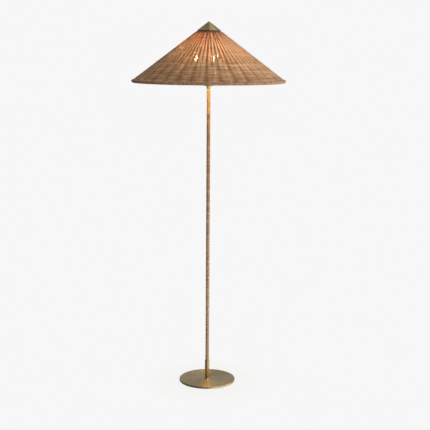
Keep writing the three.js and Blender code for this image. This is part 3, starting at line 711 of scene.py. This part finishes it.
def make_collar():
    low, high, radius = extent("stem_collar")
    lip = high - COLLAR_LIP
    neck = radius - COLLAR_GROOVE
    outline = [
        (tube_bore, low),
        *arc((radius - COLLAR_ROUND, low + COLLAR_ROUND), COLLAR_ROUND, -90, 0, 4),
        (radius, lip - 2 * COLLAR_GROOVE),
        (neck, lip - COLLAR_GROOVE),
        (neck, lip),
        (radius, lip + COLLAR_GROOVE),
        *arc((radius - COLLAR_ROUND, high - COLLAR_ROUND), COLLAR_ROUND, 0, 90, 4),
        (tube_bore, high),
    ]
    collar = turned("collar_sleeve", outline)
    done(collar, "stand", bright_brass, "brass", "stem_collar")


def make_stem_cane():
    """Flat cane wound in one helix. Its first and last turns are cut square to the collar and ferrule."""
    low, high, radius = extent("stem_wrap")
    turns = round((high - low) / CANE_TURN)
    pitch = (high - low) / turns
    count = (turns + 1) * CANE_STEPS + 1
    angle = np.linspace(0, 2 * math.pi * (turns + 1), count)
    middle = low - pitch / 2 + pitch * angle / (2 * math.pi)
    half = pitch * CANE_WIDTH_SHARE / 2
    least = pitch * (1 - CANE_WIDTH_SHARE)
    bottom = np.clip(middle - half, low, high - least)
    top = np.clip(middle + half, low + least, high)
    out = wander(count, CANE_KNOTS * turns, CANE_WANDER)
    rings = np.zeros((count, len(CANE_SECTION) + 2, 3))
    for k, (share, drop) in enumerate(CANE_SECTION):
        reach = radius - CANE_WANDER + out - CANE_CROWN * drop
        rings[:, k] = on_circle(reach, angle, bottom + (top - bottom) * share)
    rings[:, -2] = on_circle(tube_bore, angle, top)
    rings[:, -1] = on_circle(tube_bore, angle, bottom)
    mottle = wander(count, CANE_MOTTLE_KNOTS * turns, CANE_MOTTLE)
    # The tone by height is painted shade; the mottle is the cane's own uneven colour.
    tone = np.interp(middle, CANE_SHADE_AT, CANE_SHADE_TONES) + mottle
    wrap = sweep("stem_cane_winding", [(rings, False, tone)])
    done(wrap, "stand", stem_cane, "cane", "stem_wrap")


def make_tack():
    low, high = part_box("wrap_tack")
    middle = (low + high) / 2
    out = Vector((middle.x, middle.y, 0)).normalized()
    bpy.ops.mesh.primitive_uv_sphere_add(segments=24, ring_count=14, radius=(high.z - low.z) / 2)
    tack = bpy.context.object
    tack.name = "cane_tack"
    turn = out.to_track_quat("Z", "Y").to_matrix().to_4x4()
    tack.data.transform(Matrix.Translation(middle) @ turn @ Matrix.Diagonal((1, 1, TACK_FLATNESS, 1)))
    smooth(tack, angle=80)
    done(tack, "stand", tarnished_brass, "brass", "wrap_tack")


def make_ferrule():
    low, high, radius = extent("top_ferrule")
    ferrule = turned("stem_ferrule", soft_pipe(radius, tube_bore, low, high, 2 * EDGE_SOFT))
    done(ferrule, "stand", bright_brass, "brass", "top_ferrule")


# Hub


def make_hub():
    low, high, radius = extent("hub_bowl")
    corner = (radius - HUB_ROUND, low + HUB_ROUND)

    def wall(inset):
        return [*arc(corner, HUB_ROUND - inset, -90, 0), (radius - inset, high)]

    outline = [(tube_bore, low), *wall(0), *reversed(wall(HUB_WALL)), (tube_bore, low + HUB_WALL)]
    bowl = turned("hub_bowl_shell", outline)
    done(bowl, "stand", satin_brass, "brass", "hub_bowl")

    lid_low, lid_high, _ = extent("hub_lid")
    edge = high + SEAT_GAP
    slant = math.tan(branches[0].tilt)
    flat = radius - (lid_high - edge - HUB_WALL) / slant
    skirt_out = radius - HUB_WALL - SEAT_GAP
    skirt_in = skirt_out - HUB_WALL
    lid = turned("hub_lid_shell", [
        (rod_bore, lid_high),
        (flat, lid_high),
        (radius - EDGE_SOFT, edge + HUB_WALL + EDGE_SOFT * slant),
        (radius, edge + HUB_WALL - EDGE_SOFT),
        (radius, edge),
        (skirt_out, edge),
        (skirt_out, lid_low),
        (skirt_in, lid_low),
        (skirt_in, edge + (radius - skirt_in) * slant),
        (flat, lid_high - HUB_WALL),
        (rod_bore, lid_high - HUB_WALL),
    ])
    for branch in branches:
        start, _, nipple = branch.extent("branch_nipple")
        hole = nipple + SEAT_GAP
        end = start + NIPPLE_HOLE_DEPTH
        outline = [(0, start), (hole, start), (hole, end), (0, end)]
        cut_away(lid, turned("hole", outline, SMALL_SIDES, branch.place))
    done(lid, "stand", satin_brass, "brass", "hub_lid")


# Branches, lampholders and bulbs


class Branch:
    """One lampholder's own axis, from the joint that its bulb draws out along."""

    def __init__(self, number):
        joint = [j for j in frame["joints"] if j["name"] == f"bulb_{number}_draw"][0]
        low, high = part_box(f"holder_contact_{number}")
        self.number = number
        self.axis = Vector(joint["axis"]).normalized()
        self.origin = (low + high) / 2
        self.tilt = self.axis.angle(UP)
        turn = UP.rotation_difference(self.axis).to_matrix().to_4x4()
        self.place = Matrix.Translation(self.origin) @ turn

    def extent(self, node):
        return extent(f"{node}_{self.number}", self.origin, self.axis)

    def turned(self, name, outline, sides=TURNED_SIDES):
        return turned(f"{name}_{self.number}", outline, sides, self.place)

    def done(self, piece, body, look, slot, *nodes):
        return done(piece, body, look, slot, *[f"{node}_{self.number}" for node in nodes])


def thread_share(turn):
    """Height of a rolled thread at a share of its turn: a round crest and a round root."""
    return 0.5 + 0.5 * np.cos(2 * math.pi * turn)


def make_holder(branch):
    low, high, radius = branch.extent("branch_nipple")
    nipple = branch.turned("nipple_tube", soft_pipe(radius, NIPPLE_BORE, low, high), SMALL_SIDES)
    branch.done(nipple, "stand", satin_brass, "brass", "branch_nipple")

    low, high, bead = branch.extent("holder_shell")
    radius = bead - HOLDER_BEAD
    hole = branch.extent("branch_nipple")[2] + SEAT_GAP
    inside = radius - HOLDER_WALL
    groove = low + HOLDER_GROOVE_SHARE * (high - low)
    shell = branch.turned("holder_cup", [
        (hole, low),
        *arc((radius - HOLDER_BASE, low + HOLDER_BASE), HOLDER_BASE, -90, 0),
        (radius, groove),
        (radius - HOLDER_GROOVE, groove + HOLDER_GROOVE),
        (radius - HOLDER_GROOVE, groove + 2 * HOLDER_GROOVE),
        (radius, groove + 3 * HOLDER_GROOVE),
        (radius, high - 2 * HOLDER_BEAD),
        *arc((radius, high - HOLDER_BEAD), HOLDER_BEAD, -90, 90),
        (inside, high),
        (inside, low + HOLDER_BASE),
        (hole, low + HOLDER_BASE),
    ])
    branch.done(shell, "stand", satin_brass, "brass", "holder_shell")

    low, high, radius = branch.extent("holder_core")
    sleeve_low, sleeve_high, sleeve = branch.extent("holder_sleeve")
    inside = sleeve + SEAT_GAP
    floor = sleeve_low - SEAT_GAP
    core = branch.turned("holder_porcelain", [
        (0, low),
        (radius, low),
        *arc((radius - EDGE_SOFT, high - EDGE_SOFT), EDGE_SOFT, 0, 90, 3),
        *arc((inside + EDGE_SOFT, high - EDGE_SOFT), EDGE_SOFT, 90, 180, 3),
        (inside, floor),
        (0, floor),
    ])
    branch.done(core, "stand", porcelain, "ceramic", "holder_core")

    outline = soft_pipe(sleeve, sleeve - SLEEVE_WALL, sleeve_low, sleeve_high, SLEEVE_ROUND)
    liner = branch.turned("holder_thread_sleeve", outline)
    branch.done(liner, "stand", satin_brass, "brass", "holder_sleeve")

    low, high, radius = branch.extent("holder_contact")
    tip = CONTACT_TIP_SHARE * radius
    outline = [(0, low), (radius, low), (radius, high - EDGE_SOFT), (tip, high), (0, high)]
    spring = branch.turned("holder_spring_contact", outline, SMALL_SIDES)
    branch.done(spring, "stand", satin_brass, "brass", "holder_contact")


def make_bulb_cap(branch, body):
    """The rolled thread fades out towards both ends."""
    low, high, radius = branch.extent("bulb_cap")
    tip_high = low + TIP_HEIGHT
    root = radius - THREAD_DEPTH
    inside = root - BULB_CAP_WALL
    angle = full_turn(SMALL_SIDES)
    rows = np.arange(THREAD_ROWS)
    heights = np.linspace(tip_high + THREAD_MARGIN, high - THREAD_MARGIN, THREAD_ROWS)
    turn = heights[:, None] / THREAD_PITCH - angle[None, :] / (2 * math.pi)
    fade = np.clip(np.minimum(rows, THREAD_ROWS - 1 - rows) / THREAD_FADE_ROWS, 0, 1)[:, None]
    reach = root + THREAD_DEPTH * thread_share(turn) * fade
    outline = [
        (TIP_RADIUS / 2, low),
        (TIP_RADIUS, low + TIP_ROUND),
        (TIP_RADIUS, tip_high),
        (SHOULDER_SHARE * root, tip_high + SHOULDER_HEIGHT),
        *zip(reach, heights),
        (root, high),
        (inside, high),
        (inside, high - BULB_CAP_INSIDE),
    ]
    rings = np.array([on_circle(out, angle, height) for out, height in outline])
    cap = sweep(f"bulb_screw_cap_{branch.number}", [(rings[:, ::-1], False, 0.5)])
    cap.data.transform(branch.place)
    branch.done(cap, body, rolled_aluminium, "bulb_cap", "bulb_cap")


def glass_line(low, neck_top, neck, centre, head):
    """Half outline of the glass: a straight neck, a curve that flares out and a round head."""
    dome = arc((0, centre), head, GLASS_JOIN_ANGLE, 90, GLASS_DOME_STEPS)
    reach = (dome[0][1] - neck_top) / 2
    lean = math.radians(GLASS_JOIN_ANGLE)
    knots = [
        (neck, neck_top),
        (neck, neck_top + reach),
        (dome[0][0] + reach * math.sin(lean), dome[0][1] - reach * math.cos(lean)),
        dome[0],
    ]
    flare = []
    for i in range(GLASS_FLARE_STEPS + 1):
        t = i / GLASS_FLARE_STEPS
        weights = ((1 - t) ** 3, 3 * t * (1 - t) ** 2, 3 * t * t * (1 - t), t ** 3)
        flare.append(tuple(sum(w * p[axis] for w, p in zip(weights, knots)) for axis in (0, 1)))
    return [(neck, low), *flare, *dome[1:-1], (0, centre + head)]


def make_bulb_glass(branch, body):
    _, cap_high, cap_radius = branch.extent("bulb_cap")
    low, high, head = branch.extent("bulb_glass")
    neck = cap_radius - THREAD_DEPTH - BULB_CAP_WALL - SEAT_GAP
    neck_top = cap_high + GLASS_NECK
    centre = high - head
    outer = glass_line(low, neck_top, neck, centre, head)
    inner = glass_line(low, neck_top, neck - GLASS_WALL, centre, head - GLASS_WALL)
    glass = branch.turned("bulb_envelope", [*reversed(outer), *inner], GLASS_SIDES)
    branch.done(glass, body, bulb_glass, "glass", "bulb_glass")


def make_filament(branch, body):
    """Strands in a circle between two plates, on a mount that stands in the bulb's neck."""
    _, glass_high, head = branch.extent("bulb_glass")
    centre = glass_high - head
    low_end = centre - STRAND_LENGTH / 2
    high_end = centre + STRAND_LENGTH / 2
    line = soft_rod(STRAND_RADIUS, low_end, high_end)
    strands = []
    for i in range(STRAND_COUNT):
        a = 2 * math.pi * (i + 0.5) / STRAND_COUNT
        shift = Matrix.Translation((STRAND_CIRCLE * math.cos(a), STRAND_CIRCLE * math.sin(a), 0))
        strands.append(turned(f"strand_{branch.number}_{i}", line, STRAND_SIDES, branch.place @ shift))
    glow = join(f"filament_strands_{branch.number}", strands)
    branch.done(glow, body, filament_glow, "filament", "bulb_filament")

    foot = branch.extent("bulb_filament")[0]
    plate = STRAND_CIRCLE + 2 * STRAND_RADIUS
    mount = branch.turned("filament_mount", [
        (0, foot),
        (MOUNT_FOOT_RADIUS, foot),
        (MOUNT_FOOT_RADIUS, foot + MOUNT_FOOT_HEIGHT),
        (MOUNT_STEM_RADIUS, low_end - MOUNT_STEM_LENGTH),
        (MOUNT_STEM_RADIUS, low_end - PLATE_FAR),
        (plate, low_end - PLATE_FAR),
        (plate, low_end - PLATE_NEAR),
        (MOUNT_PIN_RADIUS, low_end - PLATE_NEAR),
        (MOUNT_PIN_RADIUS, high_end + PLATE_NEAR),
        (plate, high_end + PLATE_NEAR),
        (plate, high_end + PLATE_FAR),
        (0, high_end + PLATE_FAR),
    ], MOUNT_SIDES)
    branch.done(mount, body, zinc_steel, "steel")


def make_bulb(branch):
    body = f"bulb_{branch.number}"
    make_bulb_cap(branch, body)
    make_bulb_glass(branch, body)
    make_filament(branch, body)


branches = [Branch(number) for number in (1, 2, 3)]


# Shade


class Slope:
    """The shade's cone, as the cap gives it. Down is measured from the tip along the cone's outside,
    and under is measured square to it, inwards."""

    def __init__(self):
        _, self.tip, radius = extent("cap_shell")
        corners = [v.co for v in frame["nodes"]["cap_shell"].data.vertices]
        rim = max(corners, key=lambda corner: math.hypot(corner.x, corner.y))
        self.angle = math.atan2(self.tip - rim.z, radius)

    def radius(self, down, under):
        return down * math.cos(self.angle) - under * math.sin(self.angle)

    def height(self, down, under):
        return self.tip - down * math.sin(self.angle) - under * math.cos(self.angle)

    def down_at(self, radius, under):
        return (radius + under * math.sin(self.angle)) / math.cos(self.angle)

    def under_of(self, radius, height):
        """How far a point lies in from the cone's outside."""
        return (self.tip - height) * math.cos(self.angle) - radius * math.sin(self.angle)

    def points(self, down, under, angle):
        return on_circle(self.radius(down, under), angle, self.height(down, under))

    def outline(self, pairs):
        """Turns (down, under) points into a half outline of (radius, height) points."""
        return [(self.radius(down, under), self.height(down, under)) for down, under in pairs]


slope = Slope()
weave_corners = [v.co for v in frame["nodes"]["shade_weave"].data.vertices]
weave_depths = [slope.under_of(math.hypot(corner.x, corner.y), corner.z) for corner in weave_corners]
weave_under = (min(weave_depths) + max(weave_depths)) / 2
hoop_low, hoop_high, hoop_outer = extent("shade_hoop")
hoop_wire = (hoop_high - hoop_low) / 2 / HOOP_SECTION_SHARE
hoop_radius = hoop_outer - hoop_wire
hoop_under = slope.under_of(hoop_radius, (hoop_low + hoop_high) / 2)
hoop_down = slope.down_at(hoop_radius, hoop_under)
bend_under = min(weave_depths) + hoop_wire
cap_down = slope.down_at(extent("cap_shell")[2], 0)
weave_top = cap_down - CAP_OVERLAP
first_stake = math.radians(FIRST_STAKE_ANGLE)
stake_angles = first_stake + full_turn(STAKE_COUNT)


def stake_half_width(down):
    """Stakes grow wider down from the cap."""
    share = np.clip((down - cap_down) / TAPER_LENGTH, 0, 1)
    return STAKE_TIP_HALF_WIDTH + (STAKE_HALF_WIDTH - STAKE_TIP_HALF_WIDTH) * share


def make_stakes():
    """One stake in four reaches the top, and the others are let in between them further down."""
    top = slope.down_at(STAKE_TOP_RADIUS, weave_under)
    strands = []
    for number, angle in enumerate(stake_angles):
        downs = np.linspace(max(top, STAKE_STARTS[number % 4]), hoop_down, STAKE_RINGS)
        wide = stake_half_width(downs)
        lean = wander(STAKE_RINGS, STAKE_KNOTS, STAKE_WANDER)
        rings = np.zeros((STAKE_RINGS, STAKE_SECTION, 3))
        for k, turn in enumerate(full_turn(STAKE_SECTION)):
            side = wide * math.cos(turn) + lean
            base = slope.points(downs, weave_under + STAKE_HALF_THICKNESS * math.sin(turn), angle)
            rings[:, k] = base + np.outer(side, [-math.sin(angle), math.cos(angle), 0])
        strands.append((rings, False, random.uniform(*STAKE_TONES)))
    done(sweep("shade_stakes", strands), "shade", stake_rattan, "rattan")


def painted_stake_shade(down, angle):
    """How dark the weave is painted over the stakes, as painted shade where they hold back the bulbs' light
    and shade the weave beside them, at a distance down and at angles round it.
    """
    shares = (STAKE_SHADE_FOURTHS, STAKE_SHADE_HALVES, STAKE_SHADE_ALL)
    fourths, halves, every = (np.interp(down, STAKE_SHADE_AT, share) for share in shares)
    turn = angle - first_stake
    coarse = fourths * np.cos(FOURTHS_COUNT * (angle - math.radians(FOURTHS_ANGLE)))
    return coarse + halves * np.cos(turn * STAKE_COUNT / 2) + every * np.cos(turn * STAKE_COUNT)


def weaver_row(row, down, batch):
    """One round of a weaver, over one stake and under the next. Just below the cap it stays inside them and
    is painted dark, as shade under the cap's edge.
    """
    count = STAKE_COUNT * STEPS_PER_STAKE
    around = full_turn(count)
    angle = first_stake + around
    side = 1 if row % 2 else -1
    wave = np.cos(around * STAKE_COUNT / 2) * side
    # Near the cap this mean tone is painted shade.
    even = np.interp(down, WEAVE_TONE_AND_SHADE_AT, WEAVE_TONES_AND_SHADE)
    plain = even + random.uniform(-ROW_TONE, ROW_TONE) + side * ROW_CONTRAST
    # The lines over the stakes are painted shade.
    tone = plain + wander(count, ROW_TONE_KNOTS, ROW_TONE) + batch - painted_stake_shade(down, angle)
    # Under the cap's edge the rows are painted dark, as the cap's shade.
    if down < cap_down + BARE_LENGTH:
        wave = -np.ones(count)
        tone -= BARE_PAINTED_SHADE
    swing = STAKE_HALF_THICKNESS + WEAVER_THICKNESS / 2
    bend = swing * np.sign(wave) * np.abs(wave) ** BEND_POWER
    under = weave_under - bend + wander(count, ROW_DEPTH_KNOTS, ROW_WANDER)
    middle = down + wander(count, ROW_HEIGHT_KNOTS, ROW_WANDER)
    share = np.clip((np.abs(wave) - SWELL_START) / (SWELL_END - SWELL_START), 0, 1)
    swell = np.where(wave > 0, OUTER_SWELL, INNER_SWELL) * share
    half = WEAVER_WIDTH / 2 * (1 + side * ROW_CONTRAST) * (1 + swell)
    for heading, centre in PARTINGS:
        off = np.abs(np.degrees(angle) - heading)
        near = np.minimum(off, 360 - off) / PARTING_HALF_WIDTH
        reach = (down - centre) / PARTING_HALF_LENGTH
        half *= 1 - PARTING_DEPTH * np.clip(2 * (1 - near ** 2 - reach ** 2), 0, 1)
    rings = np.zeros((count, WEAVER_SECTION, 3))
    for k in range(WEAVER_SECTION):
        turn = 2 * math.pi * (k + 0.5) / WEAVER_SECTION
        lift = WEAVER_THICKNESS / 2 * math.sin(turn)
        rings[:, k] = slope.points(middle + half * math.cos(turn), under - lift, angle)
    return rings, True, tone


def make_weavers():
    bottom = hoop_down - WEAVER_WIDTH / 2
    rows = round((bottom - weave_top) / ROW_PITCH)
    downs = np.linspace(weave_top, bottom, rows)
    count = STAKE_COUNT * STEPS_PER_STAKE
    strands = []
    for row, down in enumerate(downs):
        if row % BATCH_ROWS == 0:
            batch = random.uniform(-BATCH_TONE, BATCH_TONE) + wander(count, BATCH_KNOTS, BATCH_MOTTLE)
        strands.append(weaver_row(row, down, batch))
    third = math.ceil(rows / 3)
    done(sweep("shade_weavers_upper", strands[:third]), "shade", weaver_rattan, "rattan", "shade_weave")
    done(sweep("shade_weavers_middle", strands[third:2 * third]), "shade", weaver_rattan, "rattan")
    done(sweep("shade_weavers_lower", strands[2 * third:]), "shade", weaver_rattan, "rattan")


def make_rim():
    """A channel round the weave's edge and the hoop under it, lashed over with flat cane in one helix."""
    deep = extent("rim_binding")[2] - slope.radius(hoop_down, bend_under) - LASH_THICKNESS
    lip = hoop_down - CHANNEL_LIP

    def section(inset):
        """Half outline from the outer lip, round the weave's edge and the hoop, and back to the weave."""
        reach = deep - inset
        points = [(lip, bend_under - reach)]
        for centre, start, end, steps in ((bend_under, 0, 90, 5), (hoop_under, 90, 270 + CHANNEL_HOOK, 11)):
            for out, side in arc((0, 0), reach, start, end, steps):
                points.append((hoop_down + side, centre - out))
        return points

    outline = slope.outline([*section(0), *reversed(section(CHANNEL_WALL))])
    channel = turned("rim_channel", outline, FINE_SIDES)
    done(channel, "shade", binding_cane, "rattan", "rim_binding")

    through = [(lip - LASH_THICKNESS, weave_under + depth) for depth in (LASH_THROUGH, 0, -LASH_THROUGH)]
    loop = np.array([*section(0), *through])
    laps = round(2 * math.pi * hoop_radius / LASH_PITCH)
    steps = len(loop)
    count = laps * steps
    index = np.arange(count) % steps
    base_angle = full_turn(count)
    down, under = loop[index, 0], loop[index, 1]
    before, after = loop[(index - 1) % steps], loop[(index + 1) % steps]
    along = after - before
    along /= np.linalg.norm(along, axis=1)[:, None]
    out = np.stack([along[:, 1], -along[:, 0]], -1)
    centre = loop.mean(0)
    flip = np.sign(((loop[index] - centre) * out).sum(1))
    out *= flip[:, None]
    half = LASH_WIDTH_SHARE * LASH_PITCH / 2 / hoop_radius
    rings = np.zeros((count, len(LASH_SECTION), 3))
    for k, (side, lift) in enumerate(LASH_SECTION):
        d = down + out[:, 0] * lift * LASH_THICKNESS
        u = under + out[:, 1] * lift * LASH_THICKNESS
        rings[:, k] = slope.points(d, u, base_angle + side * half)
    tone = 0.5 + wander(count, laps, LASH_MOTTLE)
    lashing = sweep("rim_lashing", [(rings, True, tone)])
    with editing(lashing):
        bpy.ops.mesh.normals_make_consistent(inside=False)
    done(lashing, "shade", binding_cane, "rattan")


def make_spider():
    low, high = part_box("shade_spider")
    hub_low, hub_high = low.z, low.z + SPIDER_HUB_HEIGHT
    hub_radius = extent("spider_washer")[2] + SPIDER_HUB_MARGIN
    hub = turned("spider_hub", soft_pipe(hub_radius, rod_bore, hub_low, hub_high), SMALL_SIDES)
    ring_radius = extent("shade_spider")[2] - SPIDER_WIRE
    ring_height = high.z - SPIDER_WIRE
    bpy.ops.mesh.primitive_torus_add(
        location=(0, 0, ring_height),
        major_radius=ring_radius,
        minor_radius=SPIDER_WIRE,
        major_segments=96,
        minor_segments=14,
    )
    ring = bpy.context.object
    put_in_mesh(ring)
    arms = []
    for i in range(3):
        heading = 2 * math.pi * i / 3 - math.pi / 2
        start = Vector((ARM_START, 0, (hub_low + hub_high) / 2))
        end = Vector((ring_radius, 0, ring_height))
        bpy.ops.mesh.primitive_cylinder_add(vertices=16, radius=ARM_WIRE, depth=(end - start).length)
        arm = bpy.context.object
        turn = (end - start).to_track_quat("Z", "Y").to_matrix().to_4x4()
        arm.data.transform(Matrix.Rotation(heading, 4, "Z") @ Matrix.Translation((start + end) / 2) @ turn)
        arms.append(arm)
    spider = join("spider_frame", [ring, hub, *arms])
    smooth(spider)
    done(spider, "shade", zinc_steel, "steel", "shade_spider")


def make_cap():
    """A thin cone with a blunt tip and a rolled edge."""
    _, high, radius = extent("cap_shell")
    edge = slope.down_at(radius, 0)
    roll = CAP_WALL / 2
    outline = [
        (0, high - CAP_BLUNT / 4),
        *slope.outline([(down, 0) for down in (CAP_BLUNT, CAP_NOSE, edge - CAP_EDGE_BAND)]),
        *slope.outline(arc((edge - roll, roll), roll, -90, 90, 8)),
        (0, high - CAP_WALL / math.cos(slope.angle)),
    ]
    cap = turned("cap_cone", outline, FINE_SIDES)
    done(cap, "cap", satin_brass, "brass", "cap_shell")


def make_rod():
    """The rod's two ends are threaded."""
    low, high, radius = extent("shade_rod")
    step = ROD_PITCH / 5
    low_thread = np.arange(low + ROD_BLUNT, low + ROD_THREAD_LENGTH, step)
    high_thread = np.arange(high - ROD_THREAD_LENGTH, high - ROD_BLUNT, step)
    heights = np.concatenate([[low], low_thread, high_thread, [high]])
    angle = full_turn(ROD_SIDES)
    turn = heights[:, None] / ROD_PITCH - angle[None, :] / (2 * math.pi)
    threaded = np.ones(len(heights))
    threaded[[0, -1, len(low_thread), len(low_thread) + 1]] = 0
    reach = radius - ROD_THREAD_DEPTH * (1 - thread_share(turn)) * threaded[:, None]
    reach[[0, -1]] = radius - ROD_THREAD_DEPTH
    rings = on_circle(reach, angle, heights[:, None])
    rod = sweep("threaded_rod", [(rings[:, ::-1], False, 0.5)])
    done(rod, "stand", zinc_steel, "steel", "shade_rod")


# CAD nodes that stay


def soften(node):
    """Rounds a CAD node's edges without touching its mesh."""
    piece = frame["nodes"][node]
    weld = piece.modifiers.new("weld", "WELD")
    weld.merge_threshold = MERGE
    bevel = piece.modifiers.new("soft edges", "BEVEL")
    bevel.width = EDGE_SOFT
    bevel.segments = 2
    bevel.limit_method = "ANGLE"
    bevel.angle_limit = math.radians(40)


def paint(look, *nodes):
    for node in nodes:
        materials = frame["nodes"][node].data.materials
        materials.clear()
        materials.append(look)


def each(node):
    """The names of the three nodes of a kind."""
    return [f"{node}_{number}" for number in (1, 2, 3)]


def paint_nodes():
    paint(cast_iron, "base_weight")
    paint(pressed_felt, "base_felt")
    paint(black_rubber, "cord_grommet")
    paint(zinc_steel, "stem_flange", *each("flange_screw"), "stem_tube", "stem_nut")
    paint(zinc_steel, "rod_nut_lower", "shade_hoop", "spider_washer")
    paint(lead_skin, "stem_flex", *each("holder_lead"))
    paint(connector_plastic, "wire_connector")
    paint(satin_brass, "rod_nut_upper", "spider_nut", "cap_boss")
    for node in ("cord_grommet", "rod_nut_upper", "rod_nut_lower", "spider_nut", "stem_nut"):
        soften(node)


# Stage


def make_floor():
    """Pale to the camera, with a faint shadow that fades out round the foot. Clear from below."""
    bpy.ops.mesh.primitive_circle_add(vertices=96, radius=6, fill_type="NGON")
    floor = bpy.context.object
    floor.name = "floor"
    look = Look("pale_floor")
    away = look.node("VectorMath", {0: look.place()}, operation="LENGTH").outputs["Value"]
    fade = look.spread(away, SHADOW_START, SHADOW_END, SHADOW_SHARE, 0.0)
    across = look.node("SeparateXYZ", {"Vector": look.place()}).outputs["X"]
    side = look.spread(across, FLOOR_TURN_LEFT, FLOOR_TURN_RIGHT, 0, 1)
    colour = look.blend(side, (FLOOR_LEFT,) * 3, (FLOOR_RIGHT,) * 3)
    matt = look.node("BsdfDiffuse", values={"Color": (SHADOW_TONE, SHADOW_TONE, SHADOW_TONE, 1)})
    matt_studio = look.node("BsdfDiffuse", {"Color": colour})
    lit = look.node("Emission", {"Color": colour}, {"Strength": FLOOR_GLOW})
    studio = look.node("AddShader", {0: matt_studio.outputs[0], 1: lit.outputs[0]})
    pale = look.node("Emission", values={"Color": (PALE, PALE, PALE, 1), "Strength": 1.0})
    clear = look.node("BsdfTransparent")
    seen = look.node("LightPath").outputs["Is Camera Ray"]
    back = look.node("NewGeometry").outputs["Backfacing"]
    shaded = look.node("MixShader", {"Fac": fade, 1: pale.outputs[0], 2: matt.outputs[0]})
    shown = look.node("MixShader", {"Fac": seen, 1: studio.outputs[0], 2: shaded.outputs[0]})
    sides = look.node("MixShader", {"Fac": back, 1: shown.outputs[0], 2: clear.outputs[0]})
    look.tree.nodes.remove(look.shader)
    look.link(sides.outputs[0], look.output.inputs["Surface"])
    floor.data.materials.append(look.material)


def make_world():
    """Pale to the camera. To all other rays it is a studio: bright on the right, dim on the left."""
    world = bpy.data.worlds.new("studio")
    bpy.context.scene.world = world
    world.use_nodes = True
    tree = world.node_tree
    tree.nodes.clear()

    def node(kind, *sources, **settings):
        made = tree.nodes.new("ShaderNode" + kind)
        for key, value in settings.items():
            setattr(made, key, value)
        for socket, source in zip(made.inputs, sources):
            if isinstance(source, (int, float)):
                socket.default_value = source
            else:
                tree.links.new(source, socket)
        return made.outputs

    def math_node(operation, first, second):
        return node("Math", first, second, operation=operation)[0]

    def rise(value, start, end, height):
        """Goes smoothly from 0 at the start to a height at the end."""
        return node("MapRange", value, start, end, 0.0, height, interpolation_type="SMOOTHSTEP")[0]

    heading = tree.nodes.new("ShaderNodeTexCoord").outputs["Generated"]
    right, back, up = node("SeparateXYZ", heading)
    low = math_node("MULTIPLY", rise(back, 0.9, -0.2, 1.0), rise(up, 0.75, 0.25, 1.0))
    side = math_node("MULTIPLY", rise(right, 0.0, 0.45, STUDIO_RIGHT), low)
    behind = math_node("MULTIPLY", rise(back, 0.2, 1.0, STUDIO_BACK), rise(up, 0.05, 0.25, 1.0))
    rest = math_node("ADD", behind, rise(up, 0.4, 1.0, STUDIO_TOP))
    strength = math_node("ADD", math_node("ADD", side, rest), STUDIO_LEFT)
    fill = tree.nodes.new("ShaderNodeBackground")
    tree.links.new(strength, fill.inputs["Strength"])
    fill.inputs["Color"].default_value = (1, 1, 1, 1)
    backdrop = tree.nodes.new("ShaderNodeBackground")
    backdrop.inputs["Color"].default_value = (PALE, PALE, PALE, 1)
    seen = tree.nodes.new("ShaderNodeLightPath").outputs["Is Camera Ray"]
    mixed = node("MixShader", seen, fill.outputs[0], backdrop.outputs[0])
    node("OutputWorld", mixed[0])


def lamp(name, kind, place, power, colour):
    light = bpy.data.lights.new(name, kind)
    light.energy = power
    light.color = colour
    made = bpy.data.objects.new(name, light)
    bpy.context.scene.collection.objects.link(made)
    made.location = place
    return made


def make_lights():
    overhead = lamp("overhead", "AREA", KEY_PLACE, KEY_POWER, (1, 1, 1))
    overhead.data.size = KEY_SIZE
    overhead.rotation_euler = (Vector(KEY_AIM) - overhead.location).to_track_quat("-Z", "Y").to_euler()
    glow = lamp("glow_of_the_shade", "AREA", (0, 0, GLOW_HEIGHT), GLOW_POWER, GLOW_COLOUR)
    glow.data.shape = "DISK"
    glow.data.size = GLOW_SIZE
    for light in (overhead, glow):
        light.visible_camera = False
    for branch in branches:
        top = branch.extent("bulb_glass")[1]
        middle = branch.place @ Vector((0, 0, top - BULB_LIGHT_DEPTH))
        bulb = lamp(f"bulb_light_{branch.number}", "POINT", middle, BULB_POWER, BULB_COLOUR)
        bulb.data.shadow_soft_size = BULB_LIGHT_RADIUS
        bulb.visible_glossy = False
        bulb.parent = frame["bodies"][f"bulb_{branch.number}"]


def make_camera():
    data = bpy.data.cameras.new("camera")
    data.sensor_width = 36
    data.lens = LENS
    data.shift_y = CAMERA_SHIFT
    camera = bpy.data.objects.new("camera", data)
    bpy.context.scene.collection.objects.link(camera)
    pitch, yaw, roll = (math.radians(a) for a in (CAMERA_PITCH, CAMERA_YAW, CAMERA_ROLL))
    forward = Vector((math.sin(yaw) * math.cos(pitch), math.cos(yaw) * math.cos(pitch), -math.sin(pitch)))
    turn = forward.to_track_quat("-Z", "Y").to_matrix().to_4x4() @ Matrix.Rotation(roll, 4, "Z")
    camera.matrix_world = Matrix.Translation((0, -CAMERA_DISTANCE, CAMERA_HEIGHT)) @ turn
    bpy.context.scene.camera = camera


make_camera()
make_world()
make_lights()
make_floor()
paint_nodes()
make_foot()
make_collar()
make_stem_cane()
make_tack()
make_ferrule()
make_hub()
for branch in branches:
    make_holder(branch)
    make_bulb(branch)
make_rod()
make_stakes()
make_weavers()
make_rim()
make_spider()
make_cap()
bpy.context.scene.view_settings.view_transform = "Standard"
